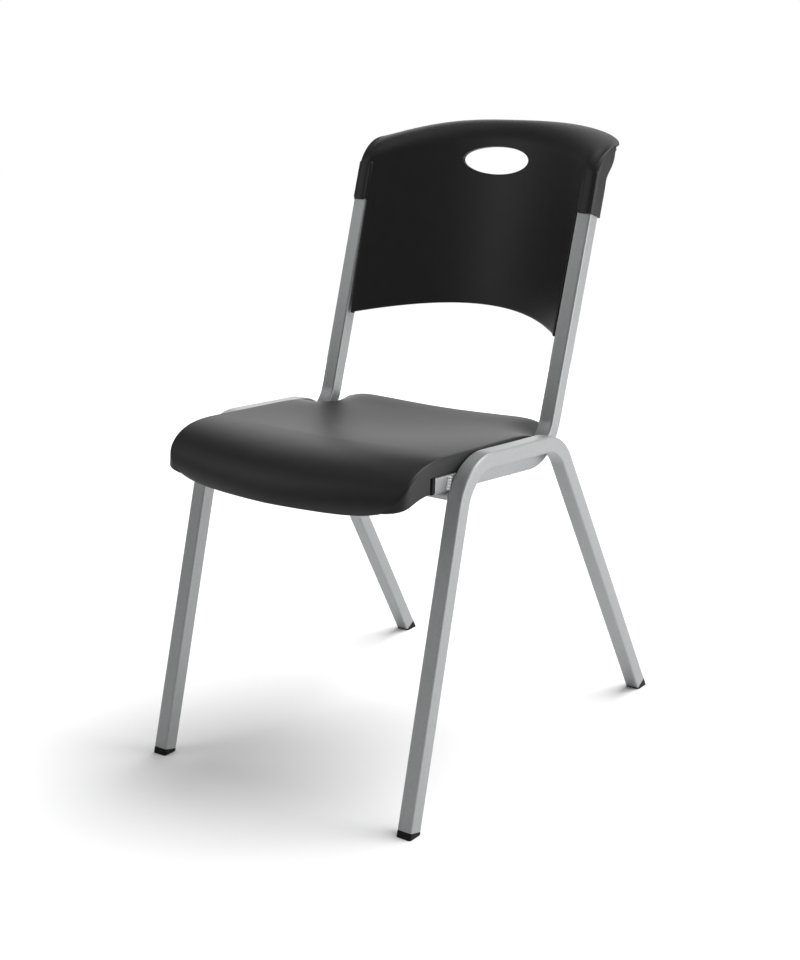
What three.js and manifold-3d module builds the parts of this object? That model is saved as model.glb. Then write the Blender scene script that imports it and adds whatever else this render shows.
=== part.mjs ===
// Stacking chair: a moulded plastic seat and back on a welded frame of bent square tube.
// Millimetres, +Z up, -Y is the front, +X is the right seen from the front.
// The origin lies on the floor under the middle of the chair.
import * as THREE from "three";
import { mergeVertices } from "three/addons/utils/BufferGeometryUtils.js";
import Module from "manifold-3d";

const wasm = await Module();
wasm.setup();

// Square tube shared by both kinds of frame
const TUBE_SIDE = 22.2;
const TUBE_WALL = 1.5;
const TUBE_CORNER = 2.2;
const BEND_RADIUS = 65;

// Running gap between pieces that touch
const FIT_GAP = 0.3;

// Leg frames: front leg, side rail and rear leg in one bent tube
const FOOT_SPREAD = 609.2;
const LEG_WIDTH = 449.2;
const SIDE_RAIL_HEIGHT = 450.9;
const FRONT_RAKE = THREE.MathUtils.degToRad(14.91);
const REAR_RAKE = THREE.MathUtils.degToRad(30.53);
const SIDE_RAIL_FALL = THREE.MathUtils.degToRad(3.16);
const LEG_TOE = THREE.MathUtils.degToRad(0.82);
const LEG_SPLAY = THREE.MathUtils.degToRad(0.5);

// Back frames: seat rail and upright in one bent tube
const SEAT_RAIL_DROP = 25.1;
const SEAT_RAIL_FALL = THREE.MathUtils.degToRad(3.92);
const SEAT_RAIL_OVERHANG = 36.3;
const BACK_BEND_SETBACK = 48.8;
const BACK_RECLINE = THREE.MathUtils.degToRad(17.44);

// Foot caps: wedges below the square-cut tube ends, with a stub inside the tube
const FRONT_CAP_DROP = 6.4;
const REAR_CAP_DROP = 8.1;
const CAP_SIDE = 23;
const CAP_CORNER = 2.6;
const CAP_STUB = 18;

// End plugs of the seat rails
const PLUG_HEAD = 6;
const PLUG_STUB = 14;
const PLUG_CORNER = 1.6;

// Cross members
const ROD_DIAMETER = 12.7;
const CROSS_TUBE_DIAMETER = 19;
const CROSS_TUBE_WALL = 1.5;
const CROSS_TUBE_SETFORWARD = 25;

// Weld beads
const BEAD_LEG = 3.6;
const RING_BEAD = 3;
const REAR_BEAD_LENGTH = 26;
const REAR_BEAD_SETFORWARD = 21.5;
const FRONT_BEAD_share = 0.8;
const BEAD_BELLY_share = 0.7;

// Seat shell
const SEAT_SIDE_GAP = 2.9;
const SEAT_TAIL_GAP = 4.8;
const SEAT_TAIL_START = 28;
const SEAT_TAIL_END = 64;
const SEAT_SKIN = 4;
const SEAT_SIDE_WALL = 3.4;
const SEAT_CROWN_LIFT = 48.7;
const SEAT_CROWN_REACH = 205;
const SEAT_FALL = THREE.MathUtils.degToRad(2.5);
const SEAT_NOSE_OVERHANG = 80.5;
const SEAT_NOSE_BOW = 20;
const SEAT_NOSE_TAPER = 19;
const SEAT_LIP_DEPTH = 66;
const SEAT_LIP_RISE = 11;
const SEAT_LIP_CUT = THREE.MathUtils.degToRad(16);
const SEAT_REAR_REACH = 101;
const SEAT_REAR_BOW = 5;
const SEAT_REAR_ROLL = 16;
const SEAT_REAR_DEPTH = 17;
const SCOOP_DEPTH = 11;
const SCOOP_SETFORWARD = 55;
const SCOOP_LENGTH = 130;
const REAR_LOBE_HEIGHT = 3;
const REAR_LOBE_SETBACK = 80;
const REAR_LOBE_LENGTH = 34;
const VALLEY_DEPTH = 16;
const VALLEY_LENGTH = 46;
const VALLEY_WIDTH = 30;
const EDGE_ROUND = 5;
const SKIRT_RAIL_GAP = 1.6;
const SKIRT_FRONT_DROP = 10.5;
const SKIRT_FRONT_FALL = THREE.MathUtils.degToRad(9.9);
const SKIRT_STEP_GAP = 6;
const SKIRT_STEP_RUN = 0.125;
const UPRIGHT_CLEARANCE = 1.8;
const SEAT_BOSS_WIDTH = 17;
const SEAT_BOSS_LENGTH = 30;
const FRONT_BOSS_REACH = 150;
const REAR_BOSS_REACH = 40;

// Back shell
const BACK_LOWER_GAP = 1.8;
const BACK_SKIN = 4;
const BACK_SIDE_WALL = 3;
const BACK_TOP_RISE = 391.5;
const BACK_NOTCH_DROP = 118.5;
const BACK_TOP_FALL = 28;
const BACK_HEIGHT = 265.5;
const BACK_LOW_FALL = 24;
const BACK_DEPTH_LOW = 73;
const BACK_DEPTH_HIGH = 51;
const BACK_DEPTH_RISE = 206;
const BACK_FRONT_STAND = 15.8;
const BACK_ARC_INSET = 4.9;
const BACK_TOP_DEPTH = 84;
const BACK_CORNER_DEPTH = 26;
const BACK_ROLL_HEIGHT = 33;
const BACK_ROLL_CORNER = 6;
const BACK_EDGE_ROUND = 8;
const SOCKET_WALL = 1.8;
const SOCKET_DEPTH = 50.8;
const SOCKET_HEADROOM = 4;
const SOCKET_OUTER_WALL = 0.8;
const SIDE_FLANGE = 20;
const HAND_HOLE_WIDTH = 113;
const HAND_HOLE_HEIGHT = 40.5;
const HAND_HOLE_DROP = 57.5;
const HAND_RIM_DEPTH = 7.5;
const HAND_RIM_WALL = 2.6;

// Screws
const SEAT_SCREW_SHANK = 4.2;
const SEAT_SCREW_HEAD = 9;
const SEAT_SCREW_HEAD_HEIGHT = 2.8;
const SEAT_SCREW_GRIP = 10;
const BACK_SCREW_SHANK = 4.2;
const BACK_SCREW_HEAD = 9;
const BACK_SCREW_HEAD_HEIGHT = 2.8;
const BACK_SCREW_RISE = 32.5;
const SCREW_CLEARANCE = 0.35;
const DRIVE_WIDTH = 4.4;
const DRIVE_SLOT = 1.1;
const DRIVE_DEPTH = 1.4;

// One overrun carries every cut clear through its piece
const CUT_OVERRUN = 6;

// Mesh fineness
const CORNER_STEPS = 1;
const BEND_STEP = THREE.MathUtils.degToRad(6);
const ROUND_STEPS = 24;
const SLIVER = 0.02;

// Finishes
const SILVER_PAINT = new THREE.MeshStandardMaterial({ color: 0xa9adae, roughness: 0.45, metalness: 0.35 });
const WELD_PAINT = new THREE.MeshStandardMaterial({ color: 0xb9bdbe, roughness: 0.5, metalness: 0.35 });
const SEAT_PLASTIC = new THREE.MeshStandardMaterial({ color: 0x3a3a3d, roughness: 0.5, metalness: 0 });
const BACK_PLASTIC = new THREE.MeshStandardMaterial({ color: 0x28282a, roughness: 0.5, metalness: 0 });
const CAP_PLASTIC = new THREE.MeshStandardMaterial({ color: 0x1c1c1d, roughness: 0.6, metalness: 0 });
const SCREW_STEEL = new THREE.MeshStandardMaterial({ color: 0x8d9093, roughness: 0.35, metalness: 0.9 });

// Lines of the frame, seen from the side: all follow from the driving sizes
const half = TUBE_SIDE / 2;
const seatRailHeight = SIDE_RAIL_HEIGHT - SEAT_RAIL_DROP;
const seatCrownHeight = seatRailHeight + SEAT_CROWN_LIFT;
const backTopHeight = seatCrownHeight + BACK_TOP_RISE;
const backNotchHeight = backTopHeight - BACK_NOTCH_DROP;
const backLowHeight = backTopHeight - BACK_HEIGHT;
const handHoleHeight = backTopHeight - HAND_HOLE_DROP;
const backScrewHeight = backNotchHeight + BACK_SCREW_RISE;
const frontLegY = (z) => -FOOT_SPREAD / 2 + z * Math.tan(FRONT_RAKE);
const rearLegY = (z) => FOOT_SPREAD / 2 - z * Math.tan(REAR_RAKE);
const sideRailZ = (y) => SIDE_RAIL_HEIGHT - y * Math.tan(SIDE_RAIL_FALL);
const seatRailZ = (y) => seatRailHeight - y * Math.tan(SEAT_RAIL_FALL);
const uprightY = (z) => BACK_BEND_SETBACK + (z - seatRailZ(BACK_BEND_SETBACK)) * Math.tan(BACK_RECLINE);
const seatRailTop = (y) => seatRailZ(y) + half / Math.cos(SEAT_RAIL_FALL);
const seatRailBottom = (y) => seatRailZ(y) - half / Math.cos(SEAT_RAIL_FALL);

// Lateral places: the back frames stand inside the leg frames, both toed out alike
const legCentreX = LEG_WIDTH / 2 - half;
const weldGap = FIT_GAP + half * Math.sin(LEG_SPLAY);
const backCentreX = legCentreX - TUBE_SIDE - weldGap;
const legInnerX = (y, z) => {
  const toe = y * Math.tan(LEG_TOE);
  const splay = (SIDE_RAIL_HEIGHT - z) * Math.tan(LEG_SPLAY);
  return legCentreX - half + toe + splay;
};
const backCentreAt = (y) => backCentreX + y * Math.tan(LEG_TOE);

const vec = (x, y, z) => new THREE.Vector3(x, y, z);

// A path of straight runs joined by arcs, sampled only where it bends
class BentPath extends THREE.Curve {
  constructor(corners, radius) {
    super();
    this.samples = [];
    this.directions = [];
    this.addSample(corners[0], corners[1].clone().sub(corners[0]).normalize());
    for (let i = 1; i < corners.length - 1; i += 1) {
      this.addBend(corners[i - 1], corners[i], corners[i + 1], radius);
    }
    const end = corners[corners.length - 1];
    this.addSample(end, end.clone().sub(corners[corners.length - 2]).normalize());
  }

  addSample(point, direction) {
    this.samples.push(point.clone());
    this.directions.push(direction.clone());
  }

  addBend(before, corner, after, radius) {
    const inward = corner.clone().sub(before).normalize();
    const outward = after.clone().sub(corner).normalize();
    const turn = inward.angleTo(outward);
    const axis = inward.clone().cross(outward).normalize();
    const start = corner.clone().addScaledVector(inward, -radius * Math.tan(turn / 2));
    const centre = start.clone().addScaledVector(axis.clone().cross(inward), radius);
    const count = Math.ceil(turn / BEND_STEP);
    for (let i = 0; i <= count; i += 1) {
      const angle = (turn * i) / count;
      const arm = start.clone().sub(centre).applyAxisAngle(axis, angle);
      this.addSample(centre.clone().add(arm), inward.clone().applyAxisAngle(axis, angle));
    }
  }

  get steps() {
    return this.samples.length - 1;
  }

  getUtoTmapping(u) {
    return u;
  }

  getPoint(t, target = new THREE.Vector3()) {
    const place = t * this.steps;
    const low = Math.min(Math.floor(place), this.steps - 1);
    return target.lerpVectors(this.samples[low], this.samples[low + 1], place - low);
  }

  getTangent(t, target = new THREE.Vector3()) {
    return target.copy(this.directions[Math.round(t * this.steps)]);
  }
}

// A square with rounded corners, centred on the origin
function roundedSquare(side, corner, kind = THREE.Shape) {
  const outline = new kind();
  const edge = side / 2 - corner;
  outline.absarc(edge, edge, corner, 0, Math.PI / 2);
  outline.absarc(-edge, edge, corner, Math.PI / 2, Math.PI);
  outline.absarc(-edge, -edge, corner, Math.PI, 1.5 * Math.PI);
  outline.absarc(edge, -edge, corner, 1.5 * Math.PI, 2 * Math.PI);
  outline.closePath();
  return outline;
}

function sweep(outline, path) {
  const settings = { steps: path.steps, extrudePath: path, bevelEnabled: false, curveSegments: CORNER_STEPS };
  return new THREE.ExtrudeGeometry(outline, settings);
}

function hollowTube(path) {
  const outline = roundedSquare(TUBE_SIDE, TUBE_CORNER);
  outline.holes.push(roundedSquare(TUBE_SIDE - 2 * TUBE_WALL, TUBE_CORNER - TUBE_WALL, THREE.Path));
  return sweep(outline, path);
}

// A straight bar of a given outline, from z = 0 up to its length
function bar(outline, length) {
  const settings = { depth: length, bevelEnabled: false, curveSegments: CORNER_STEPS };
  return new THREE.ExtrudeGeometry(outline, settings);
}

// Turns a piece made along +Z to lie along a direction in the side plane, from a point
function layAlong(geometry, point, direction) {
  geometry.rotateX(Math.atan2(-direction.y, direction.z));
  return geometry.translate(point.x, point.y, point.z);
}

// Solids for joining and cutting
function solidOf(geometry) {
  const bare = geometry.clone();
  bare.deleteAttribute("normal");
  bare.deleteAttribute("uv");
  const merged = mergeVertices(bare);
  const vertProperties = Float32Array.from(merged.attributes.position.array);
  const triVerts = Uint32Array.from(merged.index.array);
  return new wasm.Manifold(new wasm.Mesh({ numProp: 3, vertProperties, triVerts }));
}

function geometryOf(solid) {
  const mesh = solid.simplify(SLIVER).getMesh();
  const geometry = new THREE.BufferGeometry();
  geometry.setAttribute("position", new THREE.BufferAttribute(Float32Array.from(mesh.vertProperties), 3));
  geometry.setIndex(new THREE.BufferAttribute(Uint32Array.from(mesh.triVerts), 1));
  geometry.computeVertexNormals();
  return geometry;
}

const joined = (parts) => parts.map(solidOf).reduce((sum, part) => sum.add(part));
const without = (solid, cuts) => cuts.map(solidOf).reduce((rest, cut) => rest.subtract(cut), solid);

function named(name, geometry, material) {
  const mesh = new THREE.Mesh(geometry, material);
  mesh.name = name;
  return mesh;
}

// A sheet of even thickness under a surface of two parameters, closed along its four edges.
// The surface maps (u, v), each from 0 to 1, to a point, and its outer side faces the cross product v by u.
function sheet(surface, thickness, acrossSteps, alongSteps) {
  const nudge = 1 / 2048;
  const positions = [];
  const row = alongSteps + 1;
  const layer = (acrossSteps + 1) * row;
  const inner = [];
  for (let i = 0; i <= acrossSteps; i += 1) {
    for (let j = 0; j <= alongSteps; j += 1) {
      const u = i / acrossSteps;
      const v = j / alongSteps;
      const point = surface(u, v);
      const across = surface(Math.min(1, u + nudge), v).sub(surface(Math.max(0, u - nudge), v));
      const along = surface(u, Math.min(1, v + nudge)).sub(surface(u, Math.max(0, v - nudge)));
      const outward = along.cross(across).normalize();
      positions.push(point.x, point.y, point.z);
      inner.push(...point.addScaledVector(outward, -thickness).toArray());
    }
  }
  positions.push(...inner);
  const faces = [];
  const quad = (a, b, c, d) => faces.push(a, b, c, a, c, d);
  for (let i = 0; i < acrossSteps; i += 1) {
    for (let j = 0; j < alongSteps; j += 1) {
      const a = i * row + j;
      quad(a, a + 1, a + row + 1, a + row);
      quad(layer + a, layer + a + row, layer + a + row + 1, layer + a + 1);
    }
    const near = i * row;
    const far = near + alongSteps;
    quad(near, near + row, layer + near + row, layer + near);
    quad(far, layer + far, layer + far + row, far + row);
  }
  for (let j = 0; j < alongSteps; j += 1) {
    const last = acrossSteps * row + j;
    quad(j, layer + j, layer + j + 1, j + 1);
    quad(last, last + 1, layer + last + 1, layer + last);
  }
  const geometry = new THREE.BufferGeometry();
  geometry.setAttribute("position", new THREE.Float32BufferAttribute(positions, 3));
  geometry.setIndex(faces);
  return geometry;
}

// A flat plate in the side plane, from its outline of (y, z) points, with its faces at x and x + width
function sidePlate(points, x, width) {
  const outline = new THREE.Shape(points.map(([y, z]) => new THREE.Vector2(y, z)));
  const plate = new THREE.ExtrudeGeometry(outline, { depth: width, bevelEnabled: false });
  plate.applyMatrix4(new THREE.Matrix4().makeBasis(vec(0, 1, 0), vec(0, 0, 1), vec(1, 0, 0)));
  return plate.translate(x, 0, 0);
}

const smooth = (t) => THREE.MathUtils.smoothstep(t, 0, 1);
const bell = (t) => Math.exp(-t * t);

// Leg frames
const frontCorner = () => {
  const fall = Math.tan(SIDE_RAIL_FALL);
  const y = (frontLegY(0) + SIDE_RAIL_HEIGHT * Math.tan(FRONT_RAKE)) / (1 + fall * Math.tan(FRONT_RAKE));
  return vec(0, y, sideRailZ(y));
};
const rearCorner = () => {
  const fall = Math.tan(SIDE_RAIL_FALL);
  const y = (rearLegY(0) - SIDE_RAIL_HEIGHT * Math.tan(REAR_RAKE)) / (1 - fall * Math.tan(REAR_RAKE));
  return vec(0, y, sideRailZ(y));
};
const frontFoot = vec(0, frontLegY(FRONT_CAP_DROP), FRONT_CAP_DROP);
const rearFoot = vec(0, rearLegY(REAR_CAP_DROP), REAR_CAP_DROP);

// The plane of a leg frame: toed out to the rear and splayed out to the floor
function legPlane(side) {
  const toed = new THREE.Group();
  toed.position.set(side * legCentreX, 0, 0);
  toed.rotation.z = -side * LEG_TOE;
  const splayed = new THREE.Group();
  splayed.position.set(0, 0, SIDE_RAIL_HEIGHT);
  splayed.rotation.y = -side * LEG_SPLAY;
  toed.add(splayed);
  return { toed, splayed };
}

function legFrame(side, label) {
  const { toed, splayed } = legPlane(side);
  const path = new BentPath([frontFoot, frontCorner(), rearCorner(), rearFoot], BEND_RADIUS);
  const mesh = named(`leg_frame_${label}`, hollowTube(path), SILVER_PAINT);
  mesh.position.z = -SIDE_RAIL_HEIGHT;
  splayed.add(mesh);
  return toed;
}

// A foot cap is made in the plane of its leg frame and cut flat at the floor
function footCap(side, name, foot, upLeg, drop) {
  const { toed, splayed } = legPlane(side);
  const place = new THREE.Object3D();
  place.position.z = -SIDE_RAIL_HEIGHT;
  splayed.add(place);
  toed.updateMatrixWorld(true);
  const reach = drop + CAP_SIDE;
  const top = foot.clone().addScaledVector(upLeg, -FIT_GAP);
  const low = top.clone().addScaledVector(upLeg, -reach);
  const stubSide = TUBE_SIDE - 2 * TUBE_WALL - 2 * FIT_GAP;
  const wedge = layAlong(bar(roundedSquare(CAP_SIDE, CAP_CORNER), reach), low, upLeg);
  const stubStart = top.clone().addScaledVector(upLeg, -FIT_GAP);
  const stub = layAlong(bar(roundedSquare(stubSide, TUBE_CORNER / 2), CAP_STUB), stubStart, upLeg);
  const cap = joined([wedge.applyMatrix4(place.matrixWorld), stub.applyMatrix4(place.matrixWorld)]);
  const below = new THREE.BoxGeometry(4 * CAP_SIDE, 4 * CAP_SIDE, 2 * reach);
  const world = foot.clone().applyMatrix4(place.matrixWorld);
  below.translate(world.x, world.y, -reach);
  return named(name, geometryOf(without(cap, [below])), CAP_PLASTIC);
}

// Back frames
const backCorner = vec(0, BACK_BEND_SETBACK, seatRailZ(BACK_BEND_SETBACK));
const railForward = vec(0, -Math.cos(SEAT_RAIL_FALL), Math.sin(SEAT_RAIL_FALL));
const uprightUp = vec(0, Math.sin(BACK_RECLINE), Math.cos(BACK_RECLINE));
const backNormal = vec(0, Math.cos(BACK_RECLINE), -Math.sin(BACK_RECLINE));
const railFrontY = frontLegY(seatRailHeight) - SEAT_RAIL_OVERHANG;
const railFront = vec(0, railFrontY, seatRailZ(railFrontY));
const uprightTopZ = backNotchHeight + SOCKET_DEPTH;
const uprightTop = vec(0, uprightY(uprightTopZ), uprightTopZ);

function backPlane(side) {
  const toed = new THREE.Group();
  toed.position.set(side * backCentreX, 0, 0);
  toed.rotation.z = -side * LEG_TOE;
  toed.updateMatrixWorld(true);
  return toed;
}

const screwHole = (shank, length) => new THREE.CylinderGeometry(shank / 2, shank / 2, length, ROUND_STEPS);

// Where the screws stand, in the plane of a back frame
const seatScrewReaches = { front: FRONT_BOSS_REACH, rear: REAR_BOSS_REACH };
const railUp = vec(0, Math.sin(SEAT_RAIL_FALL), Math.cos(SEAT_RAIL_FALL));
const backScrewSeat = () => vec(0, uprightY(backScrewHeight), backScrewHeight);

// A drilling along a direction through a point, long enough to pass a tube
function drilling(diameter, point, direction, length) {
  const hole = screwHole(diameter, length).rotateX(Math.PI / 2);
  return layAlong(hole, point, direction);
}

function backFrame(side, label) {
  const plane = backPlane(side);
  const path = new BentPath([railFront, backCorner, uprightTop], BEND_RADIUS);
  const through = TUBE_SIDE + 2 * CUT_OVERRUN;
  const seatHoles = Object.values(seatScrewReaches).map((reach) =>
    drilling(SEAT_SCREW_SHANK + 2 * SCREW_CLEARANCE, vec(0, -reach, seatRailZ(-reach)), railUp, through));
  const backHole = drilling(BACK_SCREW_SHANK + 2 * SCREW_CLEARANCE, backScrewSeat(), backNormal, through);
  const drilled = without(solidOf(hollowTube(path)), [...seatHoles, backHole]);
  plane.add(named(`back_frame_${label}`, geometryOf(drilled), SILVER_PAINT));
  return plane;
}

function railPlug(side, label) {
  const plane = backPlane(side);
  const stubSide = TUBE_SIDE - 2 * TUBE_WALL - 2 * FIT_GAP;
  const face = railFront.clone().addScaledVector(railForward, FIT_GAP);
  const head = layAlong(bar(roundedSquare(TUBE_SIDE, PLUG_CORNER), PLUG_HEAD), face, railForward);
  const start = face.clone().addScaledVector(railForward, -PLUG_STUB);
  const core = bar(roundedSquare(stubSide, PLUG_CORNER / 2), PLUG_STUB + PLUG_HEAD / 2);
  const stub = layAlong(core, start, railForward);
  plane.add(named(`rail_plug_${label}`, geometryOf(joined([head, stub])), CAP_PLASTIC));
  return plane;
}

// Cross members
const rodDrop = half / Math.cos(SEAT_RAIL_FALL) + FIT_GAP + ROD_DIAMETER / 2;
const rodHeight = (seatRailHeight - frontLegY(0) * Math.tan(SEAT_RAIL_FALL) - rodDrop)
  / (1 + Math.tan(SEAT_RAIL_FALL) * Math.tan(FRONT_RAKE));
const rodPlace = vec(0, frontLegY(rodHeight), rodHeight);
const rodHalf = legInnerX(rodPlace.y, rodPlace.z) - FIT_GAP;
const crossTubePlace = vec(0, -CROSS_TUBE_SETFORWARD, seatRailZ(-CROSS_TUBE_SETFORWARD));
const crossTubeHalf = backCentreAt(crossTubePlace.y) - half - FIT_GAP;

function frontCrossRod() {
  const rod = new THREE.CylinderGeometry(ROD_DIAMETER / 2, ROD_DIAMETER / 2, 2 * rodHalf, ROUND_STEPS);
  const mesh = named("front_cross_rod", rod.rotateZ(Math.PI / 2), SILVER_PAINT);
  mesh.position.copy(rodPlace);
  return mesh;
}

function rearCrossTube() {
  const outer = CROSS_TUBE_DIAMETER / 2;
  const inner = outer - CROSS_TUBE_WALL;
  const profile = [
    new THREE.Vector2(inner, -crossTubeHalf),
    new THREE.Vector2(outer, -crossTubeHalf),
    new THREE.Vector2(outer, crossTubeHalf),
    new THREE.Vector2(inner, crossTubeHalf),
    new THREE.Vector2(inner, -crossTubeHalf),
  ];
  const tube = new THREE.LatheGeometry(profile, ROUND_STEPS).rotateZ(Math.PI / 2);
  const mesh = named("rear_cross_tube", geometryOf(solidOf(tube)), SILVER_PAINT);
  mesh.position.copy(crossTubePlace);
  return mesh;
}

// The room that a back frame takes up, with the running gap round it
function railRoom(side) {
  const path = new BentPath([railFront, backCorner, uprightTop], BEND_RADIUS);
  const room = sweep(roundedSquare(TUBE_SIDE + 2 * FIT_GAP, TUBE_CORNER), path);
  return room.applyMatrix4(backPlane(side).matrixWorld);
}

// A ring bead round the end of a cross member, against the face that it is welded to
function ringBead(side, name, radius, end, place) {
  const inner = radius + FIT_GAP;
  const profile = [
    new THREE.Vector2(inner, 0),
    new THREE.Vector2(inner + RING_BEAD, 0),
    new THREE.Vector2(inner + RING_BEAD / 3, RING_BEAD / 3),
    new THREE.Vector2(inner, RING_BEAD),
    new THREE.Vector2(inner, 0),
  ];
  const ring = new THREE.LatheGeometry(profile, ROUND_STEPS).rotateZ(side * Math.PI / 2);
  ring.translate(side * end, place.y, place.z);
  return named(name, geometryOf(without(solidOf(ring), [railRoom(side)])), WELD_PAINT);
}

// A fillet bead of triangular section with a rounded face, swept along +Z
function filletBead(length) {
  const outline = new THREE.Shape();
  outline.moveTo(0, 0);
  outline.lineTo(BEAD_LEG, 0);
  outline.quadraticCurveTo(BEAD_LEG * BEAD_BELLY_share, BEAD_LEG * BEAD_BELLY_share, 0, BEAD_LEG);
  outline.closePath();
  const settings = { depth: length, bevelEnabled: false, curveSegments: CORNER_STEPS };
  return new THREE.ExtrudeGeometry(outline, settings);
}

// The front bead runs up the corner between the front leg's front face and the seat rail's outer face
function frontWeld(side, label) {
  const legUp = vec(0, Math.sin(FRONT_RAKE), Math.cos(FRONT_RAKE));
  const span = TUBE_SIDE / Math.cos(FRONT_RAKE + SEAT_RAIL_FALL);
  const y = frontLegY(seatRailHeight) - half / Math.cos(FRONT_RAKE) - FIT_GAP;
  const low = seatRailBottom(y);
  const start = vec(0, y + (low - seatRailHeight) * Math.tan(FRONT_RAKE), low);
  const bead = filletBead(span * FRONT_BEAD_share);
  bead.rotateZ(side > 0 ? -Math.PI / 2 : Math.PI);
  layAlong(bead, start.addScaledVector(legUp, (span * (1 - FRONT_BEAD_share)) / 2), legUp);
  const mesh = named(`front_weld_${label}`, bead, WELD_PAINT);
  mesh.position.x = side * (backCentreAt(start.y) + half + FIT_GAP);
  return mesh;
}

// The rear bead runs below the side rail, along the outer face of the back frame
function rearWeld(side, label) {
  const rearward = vec(0, Math.cos(SIDE_RAIL_FALL), -Math.sin(SIDE_RAIL_FALL));
  const turn = Math.PI / 2 - REAR_RAKE - SIDE_RAIL_FALL;
  const bendStart = rearCorner().addScaledVector(rearward, -BEND_RADIUS * Math.tan(turn / 2));
  const y = bendStart.y - REAR_BEAD_SETFORWARD;
  const start = vec(0, y, sideRailZ(y) - half / Math.cos(SIDE_RAIL_FALL) - FIT_GAP);
  const bead = filletBead(REAR_BEAD_LENGTH);
  bead.rotateZ(side > 0 ? 0 : Math.PI / 2);
  layAlong(bead, start, rearward);
  const mesh = named(`rear_weld_${label}`, bead, WELD_PAINT);
  mesh.position.x = side * (backCentreAt(start.y + REAR_BEAD_LENGTH) + half + FIT_GAP);
  return mesh;
}

// Seat shell: the height of its top face over the plan
const seatHalf = legCentreX - half - SEAT_SIDE_GAP;
const tailHalf = backCentreX - half - SEAT_TAIL_GAP;
const valleyPlace = vec(backCentreX, uprightY(seatCrownHeight) - half, 0);

function seatHalfWidth(y) {
  const share = (y - SEAT_TAIL_START) / (SEAT_TAIL_END - SEAT_TAIL_START);
  return THREE.MathUtils.lerp(seatHalf, tailHalf, smooth(share));
}

// Shares of the half width, of the lobe's height and of the edge's radius that shape the top
const LOBE_MIDDLE_share = 0.35;
const LOBE_REACH_share = 0.75;
const EDGE_DROP_share = 0.6;

function seatTop(x, y) {
  const across = Math.min(1, Math.abs(x) / seatHalf);
  const slope = seatCrownHeight - (y + SEAT_CROWN_REACH) * Math.tan(SEAT_FALL);
  const scoop = SCOOP_DEPTH * bell((y + SCOOP_SETFORWARD) / SCOOP_LENGTH) * (1 - across ** 2) ** 1.5;
  const lobeAcross = THREE.MathUtils.lerp(LOBE_MIDDLE_share, 1, smooth(across / LOBE_REACH_share));
  const lobe = REAR_LOBE_HEIGHT * bell((y - REAR_LOBE_SETBACK) / REAR_LOBE_LENGTH) * lobeAcross;
  const dx = (Math.abs(x) - valleyPlace.x) / VALLEY_WIDTH;
  const dy = (y - valleyPlace.y) / VALLEY_LENGTH;
  const valley = VALLEY_DEPTH * bell(Math.hypot(dx, dy));
  const past = Math.max(0, Math.abs(x) - (seatHalfWidth(y) - EDGE_ROUND));
  const edge = EDGE_ROUND - Math.sqrt(Math.max(0, EDGE_ROUND ** 2 - past ** 2));
  return slope - scoop + lobe - valley - edge * EDGE_DROP_share;
}

const skirtStepY = railFront.y - PLUG_HEAD - SKIRT_STEP_GAP;
const seatNoseY = (side) => skirtStepY - SEAT_NOSE_OVERHANG + SEAT_NOSE_BOW * Math.abs(side) ** 3;
const seatLipZ = (side) => seatCrownHeight - SEAT_LIP_DEPTH + SEAT_LIP_RISE * Math.abs(side) ** 3;
const seatRearY = (side) => SEAT_REAR_REACH - SEAT_REAR_BOW * side ** 2;

// Columns of a shell stand closer together towards its sides
const CROWDING_share = 0.7;
const crowded = (u) => 2 * u - 1 - (CROWDING_share * Math.sin(2 * Math.PI * u)) / Math.PI;

// The profile runs from the rear edge over the top to the front lip, in three zones by share of its length
const REAR_ROLL_share = 0.14;
const FRONT_ROLL_share = 0.36;

// The front rolls down along part of an oval: a quarter in the middle, less towards the corners
function seatFront(side, share) {
  const cut = Math.PI / 2 - SEAT_LIP_CUT * Math.abs(side) ** 5;
  const angle = share * cut;
  const x = side * (seatHalf - SEAT_NOSE_TAPER * share ** 4);
  const high = seatTop(side * seatHalf, -SEAT_CROWN_REACH);
  const drop = (high - seatLipZ(side)) / (1 - Math.cos(cut));
  const reach = (-SEAT_CROWN_REACH - seatNoseY(side)) / Math.sin(cut);
  return vec(x, -SEAT_CROWN_REACH - reach * Math.sin(angle), high - drop * (1 - Math.cos(angle)));
}

function seatSurface(u, v) {
  const side = crowded(u);
  if (v > 1 - FRONT_ROLL_share) return seatFront(side, (v - 1 + FRONT_ROLL_share) / FRONT_ROLL_share);
  const end = seatRearY(side) - SEAT_REAR_ROLL;
  if (v < REAR_ROLL_share) {
    const angle = (1 - v / REAR_ROLL_share) * (Math.PI / 2);
    const x = side * seatHalfWidth(end);
    const high = seatTop(x, end);
    return vec(x, end + SEAT_REAR_ROLL * Math.sin(angle), high - SEAT_REAR_DEPTH * (1 - Math.cos(angle)));
  }
  const along = (v - REAR_ROLL_share) / (1 - REAR_ROLL_share - FRONT_ROLL_share);
  const y = THREE.MathUtils.lerp(end, -SEAT_CROWN_REACH, along);
  const x = side * seatHalfWidth(y);
  return vec(x, y, seatTop(x, y));
}

// The side wall hangs from the edge of the skin, down to the seat rail and further in front of its plug
const WALL_STEP_share = 0.5;
const WALL_RAMP_share = 0.05;
const skirtStepZ = seatRailZ(skirtStepY) - SKIRT_FRONT_DROP;
const skirtFrontZ = (y) => skirtStepZ + (y - skirtStepY) * Math.tan(SKIRT_FRONT_FALL);

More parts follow.
